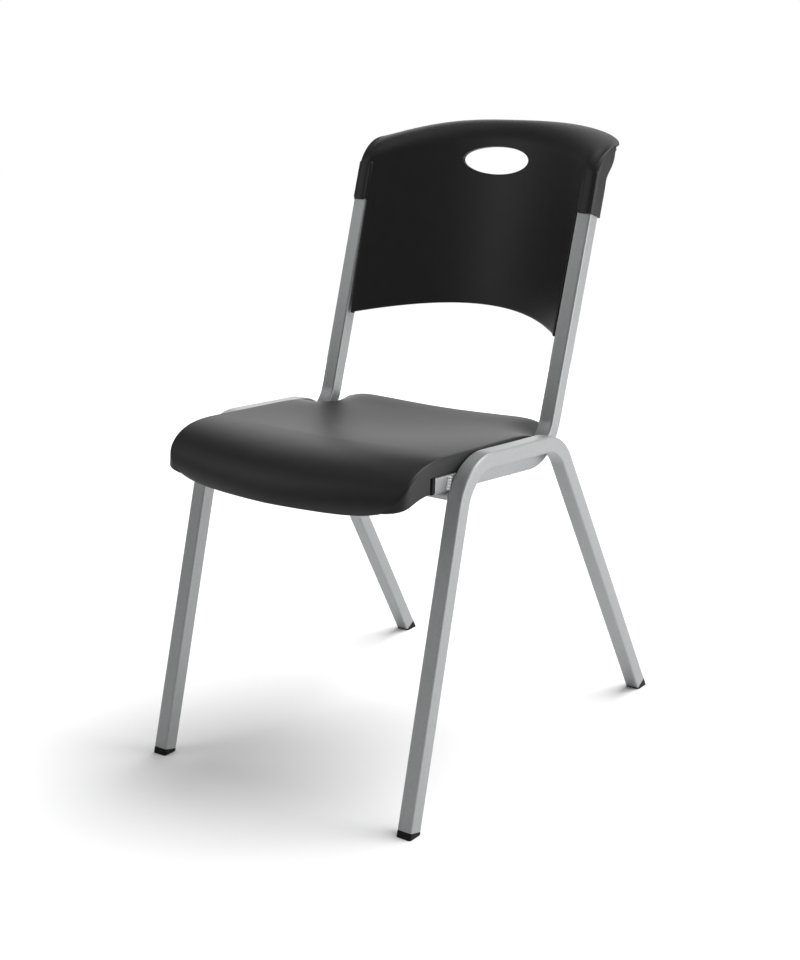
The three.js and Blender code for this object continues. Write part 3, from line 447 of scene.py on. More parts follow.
@dataclass(frozen=True)
class FrameLines:
    """The frame's centre lines in the side plane, and the planes that hold them."""

    tube: float = 22.2 * MM
    bend: float = 65.0 * MM
    gap: float = 0.3 * MM
    foot_spread: float = 609.2 * MM
    leg_width: float = 449.2 * MM
    side_rail_height: float = 450.9 * MM
    front_rake: float = math.radians(14.91)
    rear_rake: float = math.radians(30.53)
    side_rail_fall: float = math.radians(3.16)
    toe: float = math.radians(0.82)
    splay: float = math.radians(0.5)
    seat_rail_drop: float = 25.1 * MM
    seat_rail_fall: float = math.radians(3.92)
    rail_overhang: float = 36.3 * MM
    plug_head: float = 6.0 * MM
    setback: float = 48.8 * MM
    recline: float = math.radians(17.44)
    upright_top: float = 798.3 * MM
    front_drop: float = 6.4 * MM
    rear_drop: float = 8.1 * MM
    shift: float = 1.0 * MM

    @property
    def half(self) -> float:
        """Half the tube's side."""
        return self.tube / 2

    @property
    def seat_rail_height(self) -> float:
        """Height of the seat rail's axis at the middle of the chair."""
        return self.side_rail_height - self.seat_rail_drop

    @property
    def leg_x(self) -> float:
        """Distance of a leg frame's plane from the middle at the origin."""
        return self.leg_width / 2 - self.half

    @property
    def back_x(self) -> float:
        """Distance of a back frame's plane from the middle at the origin."""
        return self.leg_x - self.tube - self.gap - self.half * math.sin(self.splay)

    def back_frame_x(self, y: float) -> float:
        """Distance of a back frame's plane from the middle at a reach."""
        return self.back_x + y * math.tan(self.toe)

    def front_leg_y(self, z: float) -> float:
        """The front leg's axis at a height."""
        return -self.foot_spread / 2 + z * math.tan(self.front_rake)

    def rear_leg_y(self, z: float) -> float:
        """The rear leg's axis at a height."""
        return self.foot_spread / 2 - z * math.tan(self.rear_rake)

    def side_rail_z(self, y: float) -> float:
        """The side rail's axis at a reach."""
        return self.side_rail_height - y * math.tan(self.side_rail_fall)

    def seat_rail_z(self, y: float) -> float:
        """The seat rail's axis at a reach."""
        return self.seat_rail_height - y * math.tan(self.seat_rail_fall)

    def upright_y(self, z: Array | float) -> Array | float:
        """The upright's axis at a height."""
        return self.setback + (z - self.seat_rail_z(self.setback)) * math.tan(self.recline)

    @property
    def up(self) -> Array:
        """Direction up along the upright."""
        return np.array([0.0, math.sin(self.recline), math.cos(self.recline)])

    @property
    def behind(self) -> Array:
        """Direction square to the upright, to the rear."""
        return np.array([0.0, math.cos(self.recline), -math.sin(self.recline)])

    @property
    def rail_forward(self) -> Array:
        """Direction forward along the seat rail."""
        return np.array([0.0, -math.cos(self.seat_rail_fall), math.sin(self.seat_rail_fall)])

    @property
    def leg_corners(self) -> Array:
        """Corner points of a leg frame's centre line.

        The two bends lie where the side rail's line meets those of the legs.

        Returns:
            Front foot, two bends and rear foot, one point per line.
        """
        slopes = (self.side_rail_fall, self.front_rake, self.rear_rake)
        fall, front, rear = (math.tan(angle) for angle in slopes)
        first = (-self.foot_spread / 2 + self.side_rail_height * front) / (1 + fall * front)
        second = (self.foot_spread / 2 - self.side_rail_height * rear) / (1 - fall * rear)
        return np.array([
            [0, self.front_leg_y(self.front_drop), self.front_drop],
            [0, first, self.side_rail_z(first)],
            [0, second, self.side_rail_z(second)],
            [0, self.rear_leg_y(self.rear_drop), self.rear_drop],
        ])

    @property
    def back_corners(self) -> Array:
        """Corner points of a back frame's centre line.

        Returns:
            Rail end, bend and upright end, one point per line.
        """
        reach = self.front_leg_y(self.seat_rail_height) - self.rail_overhang
        return np.array([
            [0, reach, self.seat_rail_z(reach)],
            [0, self.setback, self.seat_rail_z(self.setback)],
            [0, self.upright_y(self.upright_top), self.upright_top],
        ])

    def back_frame_top(self, y: Array) -> Array:
        """Height of a back frame's upper face: the rail's line, then the inside of its bend.

        The bend's inside is a circle about its centre, whose radius is the bend's less half
        the tube: the centre's height less √(radius² - (y - the centre's reach)²).

        Args:
            y: reaches.

        Returns:
            Heights.
        """
        line = self.seat_rail_z(y) + self.half / math.cos(self.seat_rail_fall)
        turn = math.pi / 2 - self.recline + self.seat_rail_fall
        start = self.back_corners[1] + self.rail_forward * self.bend * math.tan(turn / 2)
        upward = np.array([0.0, math.sin(self.seat_rail_fall), math.cos(self.seat_rail_fall)])
        centre = start + upward * self.bend
        past = y - centre[1]
        inner = self.bend - self.half
        bent = (past > inner * math.sin(-self.seat_rail_fall)) & (past < inner)
        under = np.sqrt(np.where(bent, inner**2 - past**2, 0.0))
        return np.where(bent, centre[2] - under, line)

    def in_leg_plane(self, points: Array, side: Side) -> Array:
        """Moves points from the side plane to a leg frame's toed and splayed plane.

        Args:
            points: places in the side plane.
            side: the half of the chair.

        Returns:
            The moved places.
        """
        lift = np.array([0.0, 0.0, self.side_rail_height])
        splayed = (points - lift) @ turned(1, -side.value * self.splay).T + lift
        toed = splayed @ turned(2, -side.value * self.toe).T
        return toed + np.array([side.value * self.leg_x, self.shift, 0.0])

    def in_back_plane(self, points: Array, side: Side) -> Array:
        """Moves points from the side plane to a back frame's toed plane."""
        toed = points @ turned(2, -side.value * self.toe).T
        return toed + np.array([side.value * self.back_x, self.shift, 0.0])


@dataclass(frozen=True)
class BentTube:
    """A square tube with rounded corners, carried along a line that bends in the side plane.

    The face on the inside of a bend is hollowed by the dent.
    """

    corners: Array
    side: float
    radius: float
    corner: float = 2.4 * MM
    dent: float = 0.0
    step: float = math.radians(2.5)
    face_share: float = 0.45

    def line(self) -> tuple[Array, Array, Array]:
        """Samples the centre line.

        Returns:
            Places, directions, and for each sample the share of the bend that it is through,
            signed by the way that it turns: zero on the straights.
        """
        places = [self.corners[0]]
        ways = [unit(self.corners[1] - self.corners[0])]
        bends = [0.0]
        for before, corner, after in zip(self.corners, self.corners[1:], self.corners[2:]):
            into, out = unit(corner - before), unit(after - corner)
            turn = math.acos(float(np.clip(into @ out, -1, 1)))
            sign = math.copysign(1.0, float(np.cross(into, out)[0]))
            start = corner - into * self.radius * math.tan(turn / 2)
            centre = start + np.cross(sign * ACROSS, into) * self.radius
            for angle in np.linspace(0, turn, math.ceil(turn / self.step) + 1):
                spin = turned(0, sign * angle)
                places.append(centre + spin @ (start - centre))
                ways.append(spin @ into)
                bends.append(sign * math.sin(math.pi * angle / turn))
        places.append(self.corners[-1])
        ways.append(unit(self.corners[-1] - self.corners[-2]))
        bends.append(0.0)
        return np.array(places), np.array(ways), np.array(bends)

    def rings(self) -> Array:
        """Places the section at each sample of the line.

        Returns:
            Rings by points by 3; across is +X, and the other axis is the line's normal.
        """
        places, ways, bends = self.line()
        across, lift = rounded_square(self.side, self.corner).T
        inward, amount = np.sign(bends)[:, None], np.abs(bends)[:, None]
        hollow = self.dent * amount**0.5 * (1 - (across[None] / (self.side / 2)) ** 2)
        inside = inward * lift[None] > self.side * self.face_share
        lift = lift[None] - np.where(inside, inward * hollow, 0.0)
        normals = np.cross(ACROSS, ways)
        flat = places[:, None, :] + across[None, :, None] * ACROSS
        return flat + lift[..., None] * normals[:, None, :]


@dataclass
class TubeFrame:
    """The welded frame: leg frames, back frames, caps, plugs and weld beads.

    Each profile holds, for its rings, how far they draw in and how far along they lie, in mm.
    """

    lines: FrameLines
    shop: Workshop
    dent: float = 0.9 * MM
    cap_side: float = 23.0 * MM
    cap_corner: float = 3.2 * MM
    cap_profile: Profile = ((1.1, 0.0), (0.5, 0.0), (0.12, -0.25), (0.0, -0.8))
    cap_soft: float = 0.7 * MM
    cap_shares: Triple = (0.35, 0.75, 1.0)
    cap_sharp: float = 60.0
    plug_corner: float = 2.0 * MM
    plug_neck: Profile = ((2.2, -6.0), (2.2, 0.0), (0.4, 0.0), (0.0, 0.5))
    plug_crown: Profile = ((0.0, -1.2), (0.3, -0.5), (1.0, -0.1), (2.4, 0.0))
    bead: float = 4.2 * MM
    bead_swell: float = 0.28
    bead_fade: float = 14.0
    bead_tip: float = 0.12
    bead_flat: float = 0.16
    bead_sharp: float = 70.0
    ripple_steps: int = 8
    fan_steps: int = 9
    front_share: float = 0.8
    front_ripples: int = 5
    rear_length: float = 26.0 * MM
    rear_ripples: int = 6

    def build(self) -> None:
        """Makes every piece of the frame that the looks remake."""
        lines = self.lines
        for side in Side:
            self._bent("leg_frame", lines.leg_corners, lines.in_leg_plane, side)
            self._bent("back_frame", lines.back_corners, lines.in_back_plane, side)
            front, knee, hip, rear = lines.leg_corners
            self._foot_cap(f"foot_cap_front_{side.word}", front, unit(knee - front), side)
            self._foot_cap(f"foot_cap_rear_{side.word}", rear, unit(hip - rear), side)
            self._rail_plug(side)
            self._front_weld(side)
            self._rear_weld(side)

    def _bent(
        self, kind: str, corners: Array, seated: Callable[[Array, Side], Array], side: Side
    ) -> None:
        """Makes a bent tube of one side.

        Args:
            kind: the tube's name without its side.
            corners: the corner points of its centre line.
            seated: moves its points to their plane.
            side: the half of the chair.
        """
        tube = BentTube(corners, self.lines.tube, self.lines.bend, dent=self.dent)
        self.shop.stand_in(f"{kind}_{side.word}", seated(tube.rings(), side), Slot.FRAME)

    def _foot_cap(self, name: str, foot: Array, way: Array, side: Side) -> None:
        """Makes a wedge-shaped foot cap.

        A rounded square runs down the leg's axis from just below the tube's end; each of its
        edges stops where it meets the floor, and the last stretch draws in a little.

        Args:
            name: the cap's name.
            foot: the end of the leg's axis.
            way: direction up the leg.
            side: the half of the chair.
        """
        top = foot - way * self.lines.gap
        upper = turned_bar(top, way, self.cap_side, self.cap_corner, self.cap_profile)
        rings = [self.lines.in_leg_plane(ring, side) for ring in upper]
        ends = self.lines.in_leg_plane(np.stack([top, top - way]), side)
        down = ends[1] - ends[0]
        body = rings[-1]
        low = body - down * ((body[:, 2:] - self.cap_soft) / down[2])
        floor = body - down * (body[:, 2:] / down[2])
        radius = np.linalg.norm(body - body.mean(axis=0), axis=1).mean()
        rings.append(low)
        for share in self.cap_shares:
            draw = self.cap_soft * (1 - math.sqrt(1 - share**2)) / radius
            rings.append(low + (floor - low) * share + (floor.mean(axis=0) - floor) * draw)
        self.shop.stand_in(name, np.array(rings), Slot.CAP, sharp=self.cap_sharp)

    def _rail_plug(self, side: Side) -> None:
        """Makes the plug in a seat rail's front end: a softened block with a shallow crown.

        Args:
            side: the half of the chair.
        """
        lines = self.lines
        way = lines.rail_forward
        head = lines.plug_head / MM
        profile = self.plug_neck + tuple((inset, head + out) for inset, out in self.plug_crown)
        face = lines.back_corners[0] + way * lines.gap
        rings = turned_bar(face, way, lines.tube, self.plug_corner, profile)
        placed = lines.in_back_plane(rings, side)
        self.shop.stand_in(f"rail_plug_{side.word}", placed, Slot.CAP, sharp=self.cap_sharp)

    def _bead(
        self, name: str, side: Side, root: Array, way: Array, away: Array,
        length: float, ripples: int,
    ) -> None:
        """Makes a rippled fillet bead.

        The section is a fan between two directions at right angles, whose reach swells and
        shrinks along the bead as half sine waves and fades at both ends.

        Args:
            name: the bead's name without its side.
            side: the half of the chair.
            root: the root line's first point.
            way: direction along the bead.
            away: the section's direction square to +X; the other is outward across the chair.
            length: the bead's length.
            ripples: swells along it.
        """
        outward = np.array([float(side.value), 0.0, 0.0])
        along = np.linspace(0, 1, ripples * self.ripple_steps + 1)
        waves = np.abs(np.sin(math.pi * ripples * along))
        swell = 1 - self.bead_swell + self.bead_swell * waves
        ends = np.minimum(along, 1 - along) * self.bead_fade
        fade = np.clip(ends, self.bead_tip, 1) ** 0.5
        angle = np.linspace(0, math.pi / 2, self.fan_steps)
        fan = np.cos(angle)[:, None] * away + np.sin(angle)[:, None] * outward
        flat = 1 - self.bead_flat * np.sin(2 * angle)
        reach = (self.bead * swell * fade)[:, None] * flat[None, :]
        arc = reach[..., None] * fan[None]
        section = np.concatenate([np.zeros((len(along), 1, 3)), arc], axis=1)
        rings = root + along[:, None, None] * way * length + section
        # The bead wears the weld paint, whose lighter colour is a painted highlight.
        self.shop.stand_in(f"{name}_{side.word}", rings, Slot.WELD, sharp=self.bead_sharp)

    def _front_weld(self, side: Side) -> None:
        """Makes the bead up the corner of front leg and seat rail.

        Args:
            side: the half of the chair.
        """
        lines = self.lines
        sin, cos = math.sin(lines.front_rake), math.cos(lines.front_rake)
        way = np.array([0.0, sin, cos])
        y = lines.front_leg_y(lines.seat_rail_height) - lines.half / cos - lines.gap
        low = lines.seat_rail_z(y) - lines.half / math.cos(lines.seat_rail_fall)
        reach = y + (low - lines.seat_rail_height) * math.tan(lines.front_rake)
        span = lines.tube / math.cos(lines.front_rake + lines.seat_rail_fall)
        x = lines.back_frame_x(reach) + lines.half + lines.gap
        inset = way * span * (1 - self.front_share) / 2
        root = np.array([side.value * x, reach + lines.shift, low]) + inset
        ahead = np.array([0.0, -cos, sin])
        length = span * self.front_share
        self._bead("front_weld", side, root, way, ahead, length, self.front_ripples)

    def _rear_weld(self, side: Side) -> None:
        """Makes the bead below the side rail, along the back frame's outer face.

        Args:
            side: the half of the chair.
        """
        lines = self.lines
        sin, cos = math.sin(lines.side_rail_fall), math.cos(lines.side_rail_fall)
        y = lines.setback - lines.bend
        z = lines.side_rail_z(y) - lines.half / cos - lines.gap
        x = lines.back_frame_x(y + self.rear_length) + lines.half + lines.gap
        root = np.array([side.value * x, y + lines.shift, z])
        way, down = np.array([0.0, cos, -sin]), np.array([0.0, -sin, -cos])
        self._bead("rear_weld", side, root, way, down, self.rear_length, self.rear_ripples)


@dataclass(frozen=True)
class Skin:
    """A moulded skin of even thickness with rounded rims, made from the grid of its outer face."""

    thickness: float
    folds: tuple[slice, ...] = ()
    rim_steps: int = 6
    corner_rows: int = 0
    last_width: float = 0.03

    def normals(self, grid: Array) -> Array:
        """Unit normals of a grid, from the cross product of its two differences."""
        return unit(np.cross(np.gradient(grid, axis=1), np.gradient(grid, axis=0)))

    def inside(self, grid: Array, normals: Array) -> Array:
        """The inner face: the outer one moved in by the thickness.

        In a fold, where that would cross itself, it is a quadratic curve between the fold's
        moved ends, whose control point is the outer one's moved in along both normals.

        Args:
            grid: outer places, rows by columns by 3.
            normals: unit normals that point out of the outer face.

        Returns:
            Inner places in the same layout.
        """
        inner = grid - normals * self.thickness
        for fold in self.folds:
            outer, ways, moved = grid[:, fold], normals[:, fold], inner[:, fold]
            count = outer.shape[1]
            middle = outer[:, count // 2 : count // 2 + 1]
            turning = 1 + np.sum(ways[:, :1] * ways[:, -1:], axis=2, keepdims=True)
            control = 2 * middle - 0.5 * (outer[:, :1] + outer[:, -1:])
            control = control - self.thickness * (ways[:, :1] + ways[:, -1:]) / turning
            t = np.linspace(0, 1, count)[None, :, None]
            inner[:, fold] = quadratic(moved[:, :1], control, moved[:, -1:], t)
        return inner

    def rings(self, grid: Array, normals: Array) -> Array:
        """Wraps the grid into a stack of closed rings.

        Each ring runs along a row on the outer face, round a half-round rim, back along the
        inner face and round the other rim. The first and last rows close with the same rim.

        Args:
            grid: outer places, rows by columns by 3.
            normals: unit normals that point out of the outer face.

        Returns:
            Rings by points by 3, ready to be stacked and capped.
        """
        half = self.thickness / 2
        face = self.inside(grid, normals)
        middle = (grid + face) / 2
        turn = np.linspace(0, math.pi, self.rim_steps + 2)[1:-1]
        cos, sin = np.cos(turn)[None, :, None], np.sin(turn)[None, :, None]
        right = self._past(grid[:, -1], grid[:, -2])[:, None]
        left = self._past(grid[:, 0], grid[:, 1])[:, None]
        right_rim = middle[:, -1:] + half * (cos * normals[:, -1:] + sin * right)
        left_rim = middle[:, :1] + half * (-cos * normals[:, :1] + sin * left)
        rings = np.concatenate([grid, right_rim, face[:, ::-1], left_rim], axis=1)
        first = self._end(rings[0], middle[0], middle[1])
        last = self._end(rings[-1], middle[-1], middle[-2])
        return np.concatenate([first[::-1], rings, last])

    def _round(self, row: Array) -> Array:
        """Lays a row's entries out as a ring does: there, round the rim, back and round again."""
        right, left = (np.repeat(end, self.rim_steps, 0) for end in (row[-1:], row[:1]))
        return np.concatenate([row, right, row[::-1], left])

    def _past(self, edge: Array, before: Array) -> Array:
        """Directions in which the skin ends along a side edge.

        They carry on the rows, and turn square to the edge over the last rows, where a
        corner's edge runs nearly along them.

        Args:
            edge: the edge, row by row.
            before: the column beside it.

        Returns:
            Unit vectors, one per row.
        """
        way = unit(edge - before)
        if not self.corner_rows:
            return way
        along = unit(np.gradient(edge, axis=0))
        rows = np.arange(len(edge)) - (len(edge) - 2 * self.corner_rows)
        share = np.clip(rows / self.corner_rows, 0.0, 1.0)[:, None]
        return unit(way - share * np.sum(way * along, axis=1, keepdims=True) * along)

    def _end(self, ring: Array, row: Array, before: Array) -> Array:
        """Closes an end ring along quarter circles towards the skin's middle.

        They leave along the direction of the skin's middle, turned square to the row at each
        place.

        Args:
            ring: the end ring.
            row: the middle line of its row.
            before: the middle line of the row beside it.

        Returns:
            The closing rings, the narrowest last.
        """
        way = unit(row - before)[len(row) // 2]
        along = unit(np.gradient(row, axis=0))
        out = self._round(unit(way - (along @ way)[:, None] * along))
        spine = self._round(row)
        steps = np.linspace(0, math.pi / 2, self.rim_steps // 2 + 2)[1:, None, None]
        shrink = np.maximum(np.cos(steps), self.last_width)
        return spine + (ring - spine) * shrink + out * (self.thickness / 2) * np.sin(steps)


@dataclass
class Moulding:
    """What seat and back share: a curved face with a rounded edge and a wall on both sides."""

    lines: FrameLines
    shop: Workshop
    width: float
    skin: float = 4.0 * MM
    row_points: int = 61
    face_steps: int = 71
    fold_steps: int = 9
    wall_steps: int = 7
    crowding: float = 0.5
    skin_sharp: float = 35.0
    block_sharp: float = 50.0

    @property
    def half(self) -> float:
        """Half the full width."""
        return self.width / 2

    @property
    def folds(self) -> tuple[slice, slice]:
        """The columns of the two rounded edges.

        Returns:
            The left edge's columns and the right edge's.
        """
        left = self.wall_steps
        right = left + self.fold_steps + self.face_steps - 2
        return slice(left, left + self.fold_steps), slice(right, right + self.fold_steps)

    def flanked(self, middle: Array, edge: Array, wall: Array, share: float) -> Array:
        """Adds the rounded edges and side walls to a row of the face.

        The rounded edge is a quadratic curve from the face to the wall, whose control point is
        the sharp corner of the two.

        Args:
            middle: the row's places between its rounded edges.
            edge: the sharp corner on the right.
            wall: the vector from that corner to the wall's foot.
            share: the share of the wall that the rounded edge takes up.

        Returns:
            Places from the left wall's foot to the right wall's.
        """
        end = edge + wall * share
        curve = quadratic(middle[-1], edge, end, np.linspace(0, 1, self.fold_steps)[:, None])
        down = np.linspace(0, 1, self.wall_steps + 1)[1:, None]
        flank = np.concatenate([curve, end + down * (edge + wall - end)])
        return np.concatenate([flank[:0:-1] * MIRROR, middle, flank[1:]])


@dataclass
class SeatShell(Moulding):
    """The moulded seat: a dished top that rolls down in front, with walls along its sides."""

    width: float = 399.0 * MM
    tail_width: float = 350.0 * MM
    tail_start: float = 28.0 * MM
    tail_end: float = 64.0 * MM
    crown_height: float = 474.5 * MM
    crown_reach: float = 205.0 * MM
    fall: float = math.radians(2.5)
    nose_reach: float = 320.02 * MM
    nose_bow: float = 20.2 * MM
    nose_bend: float = 1.5
    nose_taper: float = 11.5 * MM
    lip_depth: float = 65.0 * MM
    lip_rise: float = 8.5 * MM
    lip_bend: float = 6.0
    lip_cut: float = math.radians(9.9)
    rear_reach: float = 101.0 * MM
    rear_bow: float = 5.0 * MM
    rear_roll: float = 16.0 * MM
    rear_depth: float = 17.0 * MM
    rear_turn: float = math.radians(86.4)
    scoop_depth: float = 11.0 * MM
    scoop_setforward: float = 55.0 * MM
    scoop_length: float = 130.0 * MM
    scoop_power: float = 1.5
    lobe_height: float = 3.0 * MM
    lobe_least: float = 0.35
    lobe_spread: float = 0.75
    lobe_setback: float = 80.0 * MM
    lobe_length: float = 34.0 * MM
    valley_depth: float = 16.0 * MM
    valley_length: float = 46.0 * MM
    valley_width: float = 30.0 * MM
    edge_round: float = 4.5 * MM
    corner_round: float = 5.0 * MM
    round_share: float = 0.8
    face_share: float = 0.98
    roll_start: float = 191.6 * MM
    roll_ease: float = 1.362
    roll_lean: float = 1.036
    corner_turn: float = 28.8 * MM
    corner_share: float = 0.669
    corner_out: float = 4.4 * MM
    corner_drop: float = -0.8 * MM
    least_wall: float = 5.0 * MM
    skirt_rail_gap: float = 1.6 * MM
    skirt_drop: float = 6.9 * MM
    skirt_fall: float = math.radians(11.5)
    skirt_bow: float = 1.9 * MM
    skirt_gap: float = 6.0 * MM
    skirt_lead: float = 10.0 * MM
    step_probes: int = 401
    step_width: float = 0.003
    last_share: float = 0.994
    rear_rows: int = 11
    top_rows: int = 57
    step_rows: tuple[int, int] = (13, 26)
    corner_rows: int = 12
    lip_rows: int = 7
    tube_room: float = 1.8 * MM
    tube_corner: float = 3.5 * MM
    tube_step: float = math.radians(4)
    boss_width: float = 17.0 * MM
    boss_length: float = 30.0 * MM
    boss_corner: float = 2.5 * MM
    boss_depth: float = 3.2 * MM
    boss_reaches: Pair = (-150.0 * MM, -40.0 * MM)
    boss_profile: Profile = (
        (0.9, 0.0), (0.6, 0.0), (0.15, 0.04), (0.0, 0.1), (-0.3, 0.6), (-0.8, 1.0)
    )

    @property
    def step_y(self) -> float:
        """Where the side wall deepens, just in front of the rail's plug."""
        return float(self.lines.back_corners[0][1]) - self.lines.plug_head - self.skirt_gap

    def half_width(self, y: Array | float) -> Array | float:
        """Half the width at a reach: full in front, eased in between the uprights."""
        share = (y - self.tail_start) / (self.tail_end - self.tail_start)
        return self.half + (self.tail_width / 2 - self.half) * smooth(share)

    def top(self, x: Array, y: Array) -> Array:
        """Height of the top face.

        A plane that falls to the rear, less a broad scoop across the middle, plus a low swell
        near the rear edge, less a valley in front of each upright.

        Args:
            x: places across.
            y: places along.

        Returns:
            Heights.
        """
        across = np.minimum(1.0, np.abs(x) / self.half)
        plane = self.crown_height - (y + self.crown_reach) * math.tan(self.fall)
        along = bell((y + self.scoop_setforward) / self.scoop_length)
        scoop = self.scoop_depth * along * (1 - across**2) ** self.scoop_power
        swell = self.lobe_least + (1 - self.lobe_least) * smooth(across / self.lobe_spread)
        lobe = self.lobe_height * bell((y - self.lobe_setback) / self.lobe_length) * swell
        valley_y = self.lines.upright_y(self.crown_height) - self.lines.half
        dx = (np.abs(x) - self.lines.back_x) / self.valley_width
        dy = (y - valley_y) / self.valley_length
        return plane - scoop + lobe - self.valley_depth * bell(np.hypot(dx, dy))

    def front(self, side: Array, share: Array) -> Array:
        """The front roll: part of an oval, a quarter in the middle and less at the corners.

        It leaves the top along the top's own slope. It runs forward with the angle's sine and
        drops with its versine, each raised to a power near 1, so that it starts without a
        break. Its ends draw in with share⁴, and as a quarter circle just above the lip.

        Args:
            side: from -1 at the left edge to 1 at the right edge.
            share: from 0 at the start of the roll to 1 at the lip.

        Returns:
            Places.
        """
        cut = math.pi / 2 - self.lip_cut * np.abs(side) ** 5
        angle = share * cut
        past = np.clip((share - self.corner_share) / (1 - self.corner_share), 0.0, 1.0)
        turn = self.corner_turn * (1 - np.sqrt(1 - past**2))
        x = side * (self.half - self.nose_taper * share**4 - turn)
        high = self.top(side * self.half, np.full_like(side * share, -self.roll_start))
        lip = self.crown_height - self.lip_depth + self.lip_rise * np.abs(side) ** self.lip_bend
        nose = -self.nose_reach + self.nose_bow * np.abs(side) ** self.nose_bend
        reach = (-self.roll_start - nose) / np.sin(cut) ** self.roll_lean
        y = -self.roll_start - reach * np.sin(angle) ** self.roll_lean
        slope = math.tan(self.fall)
        drop = high + slope * (-self.roll_start - nose) - lip
        versine = ((1 - np.cos(angle)) / (1 - np.cos(cut))) ** self.roll_ease
        return np.stack([x, y, high + slope * (-self.roll_start - y) - drop * versine], axis=-1)

    def rows(self) -> list[tuple[str, float]]:
        """The rows of the grid, from the rear roll to just above the lip.

        They leave out a narrow band where the side wall deepens, which makes its step.

        Returns:
            Zone names with a place in the zone.
        """
        step, corner = self.step_share(), self.corner_share
        before, after = self.step_rows
        turn = np.sin(np.linspace(0, math.pi / 2, self.corner_rows))
        places = {
            "rear": np.linspace(1, 0, self.rear_rows)[:-1],
            "top": np.linspace(0, 1, self.top_rows)[:-1],
            "front": np.concatenate([
                np.linspace(0, step - self.step_width, before),
                np.linspace(step + self.step_width, corner, after)[:-1],
                corner + turn * (self.last_share - corner),
            ]),
        }
        return [(zone, share) for zone, shares in places.items() for share in shares]

    def step_share(self) -> float:
        """The share of the front roll at which the side wall deepens.

        Returns:
            The share, from 0 to 1.
        """
        shares = np.linspace(0, 1, self.step_probes)
        reach = self.front(np.ones_like(shares), shares)[:, 1]
        return float(np.interp(-self.step_y, -reach, shares))

    def row(self, zone: str, share: float, side: Array) -> Array:
        """Places of one row of the top face.

        Args:
            zone: rear, top or front.
            share: place in the zone.
            side: from -1 to 1.

        Returns:
            Places, one per entry of side.
        """
        if zone == "front":
            return self.front(side, np.full_like(side, share))
        end = self.rear_reach - self.rear_bow * side**2 - self.rear_roll
        if zone == "rear":
            angle = share * self.rear_turn
            x = side * self.half_width(end)
            y = end + self.rear_roll * math.sin(angle)
            z = self.top(x, end) - self.rear_depth * (1 - math.cos(angle))
            return np.stack([x, y, z], axis=-1)
        y = end + (-self.roll_start - end) * share
        x = side * self.half_width(y)
        return np.stack([x, y, self.top(x, y)], axis=-1)

    def wall(self, zone: str, share: float, edge: Array) -> Array:
        """The side wall of a row, as the vector from its edge to its foot.

        It hangs straight down, and turns forward round the rear roll. Over the rail it reaches
        to just above it, and in front of the rail's plug its foot follows a sloping line that
        bows up a little. At the lip's corner the foot runs along a quadratic curve that ends
        beside the lip. Its control point lies where the sloping line, carried on, comes as far
        forward as that end, so that wall and lip meet in one rounded corner.

        Args:
            zone: rear, top or front.
            share: place in the zone.
            edge: the edge's place.

        Returns:
            The vector.
        """
        if zone == "rear":
            angle = share * self.rear_turn
            return -self.least_wall * np.array([0.0, math.sin(angle), math.cos(angle)])
        if zone == "top" or share < self.corner_share:
            return np.array([0.0, 0.0, -self.wall_depth(zone, share, edge)])
        first, last = self.front(np.ones(2), np.array([self.corner_share, 1.0]))
        begin = first - np.array([0.0, 0.0, self.wall_depth(zone, self.corner_share, first)])
        end = last + np.array([self.corner_out, 0.0, -self.corner_drop])
        low = begin[2] - (begin[1] - end[1]) * math.tan(self.skirt_fall)
        bent = (share - self.corner_share) / (1 - self.corner_share)
        return quadratic(begin, np.array([begin[0], end[1], low]), end, bent) - edge

    def wall_depth(self, zone: str, share: float, edge: Array) -> float:
        """How far the side wall hangs below the edge of a row behind the lip's corner.

        Args:
            zone: top or front.
            share: place in the zone.
            edge: the edge's place.

        Returns:
            The depth.
        """
        least = self.least_wall
        rail_top = float(self.lines.back_frame_top(edge[1]))
        over_rail = max(least, edge[2] - rail_top - self.skirt_rail_gap)
        if zone == "top":
            ahead = self.tail_start + self.skirt_lead - edge[1]
            return least + (over_rail - least) * float(smooth(ahead / (2 * self.skirt_lead)))
        step = self.step_share()
        if share < step:
            return over_rail
        past = min(1.0, (share - step) / (self.corner_share - step))
        start = self.lines.seat_rail_z(self.step_y) - self.skirt_drop
        low = start + (edge[1] - self.step_y) * math.tan(self.skirt_fall)
        return max(least, edge[2] - low - self.skirt_bow * math.sin(math.pi * past))

    def grid(self) -> Array:
        """The outer face as one grid: left wall, edge, top, edge, right wall.

        Returns:
            Places, rows by columns by 3.
        """
        side = crowded(self.row_points)
        spread = crowded(self.face_steps, self.crowding)
        rows = []
        for zone, share in self.rows():
            face = self.row(zone, share, side)
            edge = face[-1]
            wall = self.wall(zone, share, edge)
            depth = float(np.linalg.norm(wall))
            growth = share**3 if zone == "front" else 0.0
            soft = self.edge_round + (self.corner_round - self.edge_round) * growth
            soft = min(soft, depth * self.round_share)
            right = face[side >= 0]
            away = -np.linalg.norm(right - edge, axis=1)
            begin = np.array([np.interp(-soft, away, right[:, k]) for k in range(3)])
            inner = face[np.abs(face[:, 0]) < abs(edge[0]) - soft * self.face_share]
            order = np.concatenate([[-1.0], inner[:, 0] / begin[0], [1.0]])
            values = np.concatenate([[begin * MIRROR], inner, [begin]])
            middle = np.stack([np.interp(spread, order, values[:, k]) for k in range(3)], axis=1)
            rows.append(self.flanked(middle, edge, wall, soft / depth))
        return np.array(rows) + np.array([0.0, self.lines.shift, 0.0])

